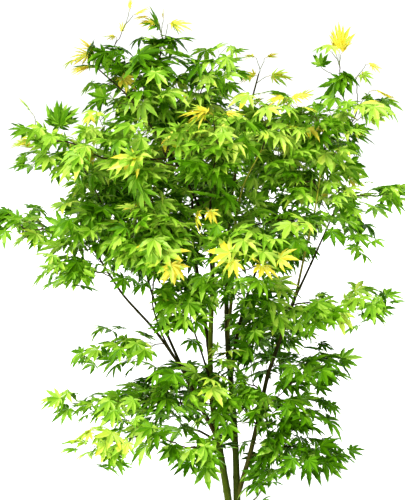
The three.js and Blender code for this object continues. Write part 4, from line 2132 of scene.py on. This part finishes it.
@dataclass(frozen=True)
class BarkFinish:
    """Smooth young bark: a colour that turns with height, streaks, painted shade on the side that faces +X,
    pale pores and fine ridges.

    Attributes:
        tone: The bark's colours.
        streak: How strongly the streaks darken it.
        furrow: The streaks' colour.
        painted_shade: The colour of the painted shade on the side that faces +X, away from the key lamp.
        painted_shade_share: How strongly the painted shade lies there.
        pore: The pores' colour.
        pore_share: How strongly they show.
        roughness: How matt it is.
        gloss: How strongly its surface mirrors.
        ridge: How deep the ridges look.
        ridge_height: How high they stand, in metres.
    """

    tone: BarkTone
    streak: float = 0.45
    furrow: str = "211f0e"
    painted_shade: str = "1a2404"
    painted_shade_share: float = 0.6
    pore: str = "a09c58"
    pore_share: float = 0.2
    roughness: float = 0.65
    gloss: float = 0.14
    ridge: float = 0.35
    ridge_height: float = 0.0006

    def material(self, effects: "BarkEffects") -> bpy.types.Material:
        """Make the material.

        Args:
            effects: The node groups that all bark shares.

        Returns:
            The material.
        """
        low, high, start, end = self.tone.value
        material, shader = principled(f"bark_{self.tone.name.lower()}")
        tree = material.node_tree
        rise = self._group(tree, effects.rise)
        rise.inputs["Start"].default_value = start
        rise.inputs["End"].default_value = end
        streaks = self._group(tree, effects.streaks)
        pores = self._group(tree, effects.pores)
        base = self._mix(tree, rise.outputs["Mask"], 1.0, linear(low), linear(high))
        dark = self._mix(tree, streaks.outputs["Mask"], self.streak, base, linear(self.furrow))
        # Painted shade: the side that faces +X, away from the key lamp, is darkened as if in shadow.
        painted_shade = self._group(tree, effects.painted_shade)
        green = self._mix(tree, painted_shade.outputs["Mask"], self.painted_shade_share, dark, linear(self.painted_shade))
        spotted = self._mix(tree, pores.outputs["Mask"], self.pore_share, green, linear(self.pore))
        tree.links.new(spotted, shader.inputs["Base Color"])
        shader.inputs["Roughness"].default_value = self.roughness
        shader.inputs["Specular IOR Level"].default_value = self.gloss
        bump = tree.nodes.new("ShaderNodeBump")
        bump.inputs["Strength"].default_value = self.ridge
        bump.inputs["Distance"].default_value = self.ridge_height
        tree.links.new(streaks.outputs["Mask"], bump.inputs["Height"])
        tree.links.new(bump.outputs["Normal"], shader.inputs["Normal"])
        return material

    def _group(self, tree: bpy.types.NodeTree, group: bpy.types.NodeTree) -> bpy.types.Node:
        """Put a node group into a material.

        Args:
            tree: The material's nodes.
            group: The group.

        Returns:
            The node that stands for it.
        """
        node = tree.nodes.new("ShaderNodeGroup")
        node.node_tree = group
        return node

    def _mix(
        self,
        tree: bpy.types.NodeTree,
        mask: bpy.types.NodeSocket,
        share: float,
        under: bpy.types.NodeSocket | tuple[float, ...],
        over: tuple[float, ...],
    ) -> bpy.types.NodeSocket:
        """Lay a colour over another where a mask says so.

        Args:
            tree: The material's nodes.
            mask: Where the other colour lies.
            share: How thick it lies there.
            under: The colour below.
            over: The other colour.

        Returns:
            The mixed colour.
        """
        scale = tree.nodes.new("ShaderNodeMath")
        scale.operation = "MULTIPLY"
        tree.links.new(mask, scale.inputs[0])
        scale.inputs[1].default_value = share
        mix = tree.nodes.new("ShaderNodeMix")
        mix.data_type = "RGBA"
        tree.links.new(scale.outputs[0], mix.inputs["Factor"])
        if isinstance(under, tuple):
            mix.inputs[UNDER].default_value = under
        else:
            tree.links.new(under, mix.inputs[UNDER])
        mix.inputs[OVER].default_value = over
        return mix.outputs[MIXED]


@dataclass
class BarkEffects:
    """The node groups that all bark shares.

    They are rise, how high up the tree a place is; painted_shade, how squarely it faces +X, the side that is
    painted darker as shade; streaks, which follow the limb; and pores, which are longer across the limb than
    along it.

    Attributes:
        painted_shade_bounds: How far a face turns to +X where the painted shade begins and where it is full.
        streak_scale: How fine the streaks are across, across and along the limb.
        streak_detail: How many finer layers of noise they have.
        streak_bounds: The noise at which a streak begins and at which it is full.
        pore_scale: How close the pores are across, across and along the limb.
        pore_bounds: The distance from a pore's middle at which it begins and at which it is full.
    """

    painted_shade_bounds: tuple[float, float] = (-0.15, 0.8)
    streak_scale: tuple[float, float, float] = (420.0, 420.0, 34.0)
    streak_detail: float = 4.0
    streak_bounds: tuple[float, float] = (0.42, 0.72)
    pore_scale: tuple[float, float, float] = (190.0, 190.0, 260.0)
    pore_bounds: tuple[float, float] = (0.22, 0.12)

    def __post_init__(self) -> None:
        """Make the groups."""
        self.rise = self._rise()
        self.painted_shade = self._painted_shade()
        self.streaks = self._streaks()
        self.pores = self._pores()

    def _new(
        self, name: str, inputs: tuple[str, ...] = ()
    ) -> tuple[bpy.types.NodeTree, bpy.types.Node, bpy.types.Node]:
        """Start a group with one mask as its output.

        Args:
            name: The group's name.
            inputs: The names of its inputs.

        Returns:
            The group, its input node and its output node.
        """
        group = bpy.data.node_groups.new(name, "ShaderNodeTree")
        for entry in inputs:
            group.interface.new_socket(entry, in_out="INPUT", socket_type="NodeSocketFloat")
        group.interface.new_socket("Mask", in_out="OUTPUT", socket_type="NodeSocketFloat")
        start = group.nodes.new("NodeGroupInput")
        return group, start, group.nodes.new("NodeGroupOutput")

    def _rise(self) -> bpy.types.NodeTree:
        """Make the group that follows the height.

        Returns:
            The group.
        """
        group, start, end = self._new("bark_rise", ("Start", "End"))
        place = group.nodes.new("ShaderNodeNewGeometry")
        split = group.nodes.new("ShaderNodeSeparateXYZ")
        ramp = group.nodes.new("ShaderNodeMapRange")
        group.links.new(place.outputs["Position"], split.inputs[0])
        group.links.new(split.outputs["Z"], ramp.inputs["Value"])
        group.links.new(start.outputs["Start"], ramp.inputs["From Min"])
        group.links.new(start.outputs["End"], ramp.inputs["From Max"])
        group.links.new(ramp.outputs["Result"], end.inputs["Mask"])
        return group

    def _painted_shade(self) -> bpy.types.NodeTree:
        """Make the group that finds the side painted darker as shade, which faces +X.

        Returns:
            The group.
        """
        group, _, end = self._new("bark_painted_shade")
        place = group.nodes.new("ShaderNodeNewGeometry")
        split = group.nodes.new("ShaderNodeSeparateXYZ")
        group.links.new(place.outputs["Normal"], split.inputs[0])
        self._mask(group, split.outputs["X"], self.painted_shade_bounds, end)
        return group

    def _mask(
        self,
        group: bpy.types.NodeTree,
        value: bpy.types.NodeSocket,
        bounds: tuple[float, float],
        end: bpy.types.Node,
    ) -> None:
        """Give out how far a value has come from one bound to the other.

        Args:
            group: The group.
            value: The value.
            bounds: Where the mask begins and where it is full.
            end: The group's output node.
        """
        ramp = group.nodes.new("ShaderNodeMapRange")
        ramp.inputs["From Min"].default_value, ramp.inputs["From Max"].default_value = bounds
        group.links.new(value, ramp.inputs["Value"])
        group.links.new(ramp.outputs["Result"], end.inputs["Mask"])

    def _grained(self, group: bpy.types.NodeTree, scale: tuple[float, float, float]) -> bpy.types.NodeSocket:
        """Stretch the grain of a limb for a texture.

        Args:
            group: The group.
            scale: How much it is stretched across, across and along the limb.

        Returns:
            The stretched grain.
        """
        grain = group.nodes.new("ShaderNodeAttribute")
        grain.attribute_name = GRAIN
        mapping = group.nodes.new("ShaderNodeMapping")
        mapping.inputs["Scale"].default_value = scale
        group.links.new(grain.outputs["Vector"], mapping.inputs["Vector"])
        return mapping.outputs["Vector"]

    def _streaks(self) -> bpy.types.NodeTree:
        """Make the group of long streaks.

        Returns:
            The group.
        """
        group, _, end = self._new("bark_streaks")
        clouds = group.nodes.new("ShaderNodeTexNoise")
        clouds.inputs["Scale"].default_value = 1.0
        clouds.inputs["Detail"].default_value = self.streak_detail
        group.links.new(self._grained(group, self.streak_scale), clouds.inputs["Vector"])
        self._mask(group, clouds.outputs["Fac"], self.streak_bounds, end)
        return group

    def _pores(self) -> bpy.types.NodeTree:
        """Make the group of pale pores.

        Returns:
            The group.
        """
        group, _, end = self._new("bark_pores")
        cells = group.nodes.new("ShaderNodeTexVoronoi")
        cells.inputs["Scale"].default_value = 1.0
        group.links.new(self._grained(group, self.pore_scale), cells.inputs["Vector"])
        self._mask(group, cells.outputs["Distance"], self.pore_bounds, end)
        return group


# ---------------------------------------------------------------- the stage


@dataclass
class Stage:
    """A pale floor, soft plain light and the camera.

    Attributes:
        floor_radius: The floor's radius.
        floor_sides: How many sides it has.
        floor_drop: How far below the ground it lies, so that it doesn't touch the trunk's foot.
        floor_colour: Its colour.
        floor_roughness: How matt it is.
        floor_gloss: How strongly its surface mirrors.
        floor_glow: How much light it adds of its own, so that the tree's soft shadow stays pale.
        sky: How bright the even light from all round is.
        mirrored_sky: How bright it is where a glossy surface mirrors it.
        key_way: The way from the tree to the large soft lamp, far away.
        key_width: How wide that lamp looks from the tree, in degrees.
        key_power: How strong it is.
        target: What the camera looks at.
        elevation: How far the camera looks down, in degrees.
        distance: How far away it stands.
        film: How tall the picture is behind its lens, in millimetres.
        lens: The lens's focal length, in millimetres.
    """

    floor_radius: float = 18.0
    floor_sides: int = 96
    floor_drop: float = 0.0005
    floor_colour: str = "ffffff"
    floor_roughness: float = 0.9
    floor_gloss: float = 0.1
    floor_glow: float = 0.3
    sky: float = 0.84
    mirrored_sky: float = 0.12
    key_way: tuple[float, float, float] = (-1.0, -2.6, 3.2)
    key_width: float = 30.0
    key_power: float = 2.3
    target: tuple[float, float, float] = (-0.084, 0.0, 0.875)
    elevation: float = 7.0
    distance: float = 3.2
    film: float = 36.0
    lens: float = 92.2

    def build(self) -> None:
        """Set everything up."""
        scene = bpy.context.scene
        scene.view_settings.view_transform = "Standard"
        scene.view_settings.look = "Medium High Contrast"
        self._floor()
        self._light(scene)
        self._camera(scene)

    def _floor(self) -> None:
        """Lay the floor."""
        turns = circle(self.floor_sides)
        rim = np.stack([np.cos(turns), np.sin(turns), 0 * turns], axis=1) * self.floor_radius
        vertices = np.vstack([rim, [0, 0, 0]])
        vertices[:, 2] = -self.floor_drop
        numbers = np.arange(self.floor_sides)
        middle = np.full(self.floor_sides, self.floor_sides)
        faces = np.stack([numbers, np.roll(numbers, -1), middle], axis=1)
        plain = PlainFinish("floor", self.floor_colour, self.floor_roughness, self.floor_gloss)
        finish = plain.material()
        shader = finish.node_tree.nodes["Principled BSDF"]
        shader.inputs["Emission Color"].default_value = (1, 1, 1, 1)
        shader.inputs["Emission Strength"].default_value = self.floor_glow
        make_piece("floor", vertices, faces, [finish], np.zeros(len(faces)))

    def _light(self, scene: bpy.types.Scene) -> None:
        """Light the scene evenly, and a little more from the upper left.

        Args:
            scene: The scene.
        """
        world = bpy.data.worlds.new("studio")
        world.use_nodes = True
        tree = world.node_tree
        tree.nodes["Background"].inputs["Color"].default_value = (1, 1, 1, 1)
        rays = tree.nodes.new("ShaderNodeLightPath")
        mirrored = tree.nodes.new("ShaderNodeMapRange")
        mirrored.inputs["To Min"].default_value = self.sky
        mirrored.inputs["To Max"].default_value = self.mirrored_sky
        tree.links.new(rays.outputs["Is Glossy Ray"], mirrored.inputs["Value"])
        seen = tree.nodes.new("ShaderNodeMapRange")
        tree.links.new(mirrored.outputs["Result"], seen.inputs["To Min"])
        tree.links.new(rays.outputs["Is Camera Ray"], seen.inputs["Value"])
        tree.links.new(seen.outputs["Result"], tree.nodes["Background"].inputs["Strength"])
        scene.world = world
        lamp = bpy.data.lights.new("key", "SUN")
        lamp.angle = math.radians(self.key_width)
        lamp.energy = self.key_power
        self._aimed(bpy.data.objects.new("key", lamp), Vector(self.key_way), Vector((0, 0, 0)))

    def _camera(self, scene: bpy.types.Scene) -> None:
        """Stand the camera in front of the tree.

        Args:
            scene: The scene.
        """
        lens = bpy.data.cameras.new("camera")
        lens.sensor_width, lens.lens = self.film, self.lens
        tilt = math.radians(self.elevation)
        target = Vector(self.target)
        place = target + self.distance * Vector((0, -math.cos(tilt), math.sin(tilt)))
        scene.camera = self._aimed(bpy.data.objects.new("camera", lens), place, target)

    def _aimed(self, thing: bpy.types.Object, place: Vector, target: Vector) -> bpy.types.Object:
        """Put a lamp or a camera in its place and aim it.

        Args:
            thing: The lamp or camera.
            place: Where it stands.
            target: What it is aimed at.

        Returns:
            The same thing, in the scene.
        """
        thing.location = place
        thing.rotation_euler = (target - place).to_track_quat("-Z", "Y").to_euler()
        bpy.context.scene.collection.objects.link(thing)
        return thing


# ---------------------------------------------------------------- the tree


# What each limb grows from.
CARRIERS = {
    "stem_left": "trunk",
    "stem_middle": "trunk",
    "right_limb": "stem_middle",
    "right_upright_fork": "right_limb",
    "right_outer_fork": "right_limb",
    "left_limb": "stem_left",
    "left_long_fork": "left_limb",
    "left_upright_fork": "left_limb",
    "left_thin_fork": "left_limb",
    "inner_left_bough": "stem_left",
    "crown_left_limb": "stem_left",
    "crown_right_limb": "stem_middle",
    "lower_left_bough": "stem_left",
    "lower_right_bough": "right_limb",
    "front_bough": "stem_left",
    "back_left_limb": "stem_left",
    "back_right_limb": "stem_middle",
    "basal_shoot": "stem_middle",
}
# The bark of each limb; that of the others is dark.
TONES = {
    "stem_left": BarkTone.STEM,
    "stem_middle": BarkTone.SHADED_STEM,
    "left_limb": BarkTone.ROSY,
    "right_limb": BarkTone.LIMB,
    "basal_shoot": BarkTone.LIMB,
    "lower_right_bough": BarkTone.LIMB,
    "lower_left_bough": BarkTone.LIMB,
    "crown_right_limb": BarkTone.YELLOWISH,
    "right_upright_fork": BarkTone.YELLOWISH,
}


@dataclass(frozen=True)
class Lane:
    """A stretch of a limb that shows between the leaves.

    Attributes:
        width: How far aside of it leaves may hide it.
        low: The height at which it begins.
        high: The height at which it ends.
        share: How many of the leaves in front of it are left out.
    """

    width: float
    low: float
    high: float
    share: float


# Where limbs show.
LANES = {
    "stem_left": Lane(0.022, 0.25, 0.9, 0.45),
    "stem_middle": Lane(0.016, 0.25, 0.72, 0.4),
    "right_limb": Lane(0.016, 0.25, 0.8, 0.35),
    "right_upright_fork": Lane(0.022, 0.9, 1.2, 0.85),
    "right_outer_fork": Lane(0.018, 0.7, 0.9, 0.85),
    "left_limb": Lane(0.024, 0.59, 0.72, 0.8),
    "left_long_fork": Lane(0.024, 0.6, 0.8, 0.8),
    "left_upright_fork": Lane(0.018, 0.6, 0.8, 0.7),
    "crown_left_limb": Lane(0.02, 1.02, 1.3, 0.9),
    "crown_right_limb": Lane(0.028, 0.98, 1.2, 0.97),
}


class Maple:
    """The whole tree, built on the frame piece by piece."""

    FORK = 0.1  # the height at which the stems part
    GIRTH = 0.018  # the trunk's usual radius
    POINTS = 12  # how many its line is drawn through

    def __init__(self) -> None:
        """Sort the frame's nodes and start the row of chances."""
        self.slots = {part["node"]: part["material_slot"] for part in frame["record"]["subparts"]}
        self.masses = [name for name in frame["nodes"] if name != "trunk" and name not in CARRIERS]
        self.chance = np.random.default_rng(SEED)

    def seat(self, piece: bpy.types.Object, node: str, stands_in: bool = True) -> None:
        """Fix a piece to the frame.

        Args:
            piece: The piece.
            node: The node that it belongs to.
            stands_in: Whether it replaces that node.
        """
        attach(piece, BODY)
        if stands_in:
            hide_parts(node)
        LOG.info("%s: %d faces", piece.name, len(piece.data.polygons))

    def grow_limbs(self) -> dict[str, LimbLine]:
        """Read every limb's line and give it its bark.

        Returns:
            The limbs' lines.
        """
        effects = BarkEffects()
        barks = {tone: BarkFinish(tone).material(effects) for tone in BarkTone}
        lines = {"trunk": self._trunk_line()}
        reader, skin, stem_skin = LimbReader(), BarkSkin(), BarkSkin(collar=0.0)
        for name, carrier in CARRIERS.items():
            lines[name] = reader.read(name, lines[carrier])
            bark = barks[TONES.get(name, BarkTone.DARK)]
            chosen = stem_skin if carrier == "trunk" else skin
            self.seat(chosen.build(lines[name], bark, self.chance), name)
        stems = [lines["stem_left"], lines["stem_middle"]]
        self.seat(TrunkSkin().build(stems, barks[BarkTone.TRUNK]), "trunk")
        return lines

    def _trunk_line(self) -> LimbLine:
        """Give the trunk's line, straight up from the ground to where the stems part.

        Returns:
            The line.
        """
        heights = np.linspace(0.0, self.FORK, self.POINTS)
        places = np.stack([0 * heights, 0 * heights, heights], axis=1)
        return LimbLine("trunk", places, np.full(self.POINTS, self.GIRTH))

    def grow_crown(self, lines: dict[str, LimbLine]) -> None:
        """Grow the twigs and the leaves.

        Args:
            lines: The limbs' lines.
        """
        crown = CrownSpace(self.masses)
        levels = [LEVEL[self.slots[name]] for name in self.masses]
        moods = [MOODS.get(name, Mood()) for name in self.masses]
        chances = self.chance.spawn(len(self.masses))
        sprays = SprayPlan().deal(crown, levels, moods, chances)
        limbs = [line for name, line in lines.items() if name != "trunk"]
        twigs = TwigGrowth(sprays, crown, self.chance).grow(limbs)
        foliage = Foliage(self.chance)
        foliage.hang_all(sprays, chances)
        foliage.settle(lines)
        LOG.info("%d sprays, %d leaves, %d kept", len(sprays), len(foliage.kept), foliage.kept.sum())
        tones = [leaf_finish(tint, half).material() for tint in Tint for half in (0, 1)]
        stalks = [WoodTone.STALK.material(), WoodTone.STALK_YOUNG.material()]
        wood = [WoodTone.TWIG_GREEN.material(), WoodTone.TWIG_WOODY.material()]
        skin = TwigSkin()
        for number, name in enumerate(self.masses):
            self.seat(foliage.leaves(number, name, tones), name)
            self.seat(foliage.stalk_piece(number, name, stalks), name, False)
            twig = skin.build(twigs, number, name, wood)
            if twig:
                self.seat(twig, name, False)


def main() -> None:
    """Build the tree on its frame, then the stage round it."""
    logging.basicConfig(level=logging.INFO, format="%(message)s")
    tree = Maple()
    lines = tree.grow_limbs()
    tree.grow_crown(lines)
    Stage().build()


if __name__ == "__main__":
    main()
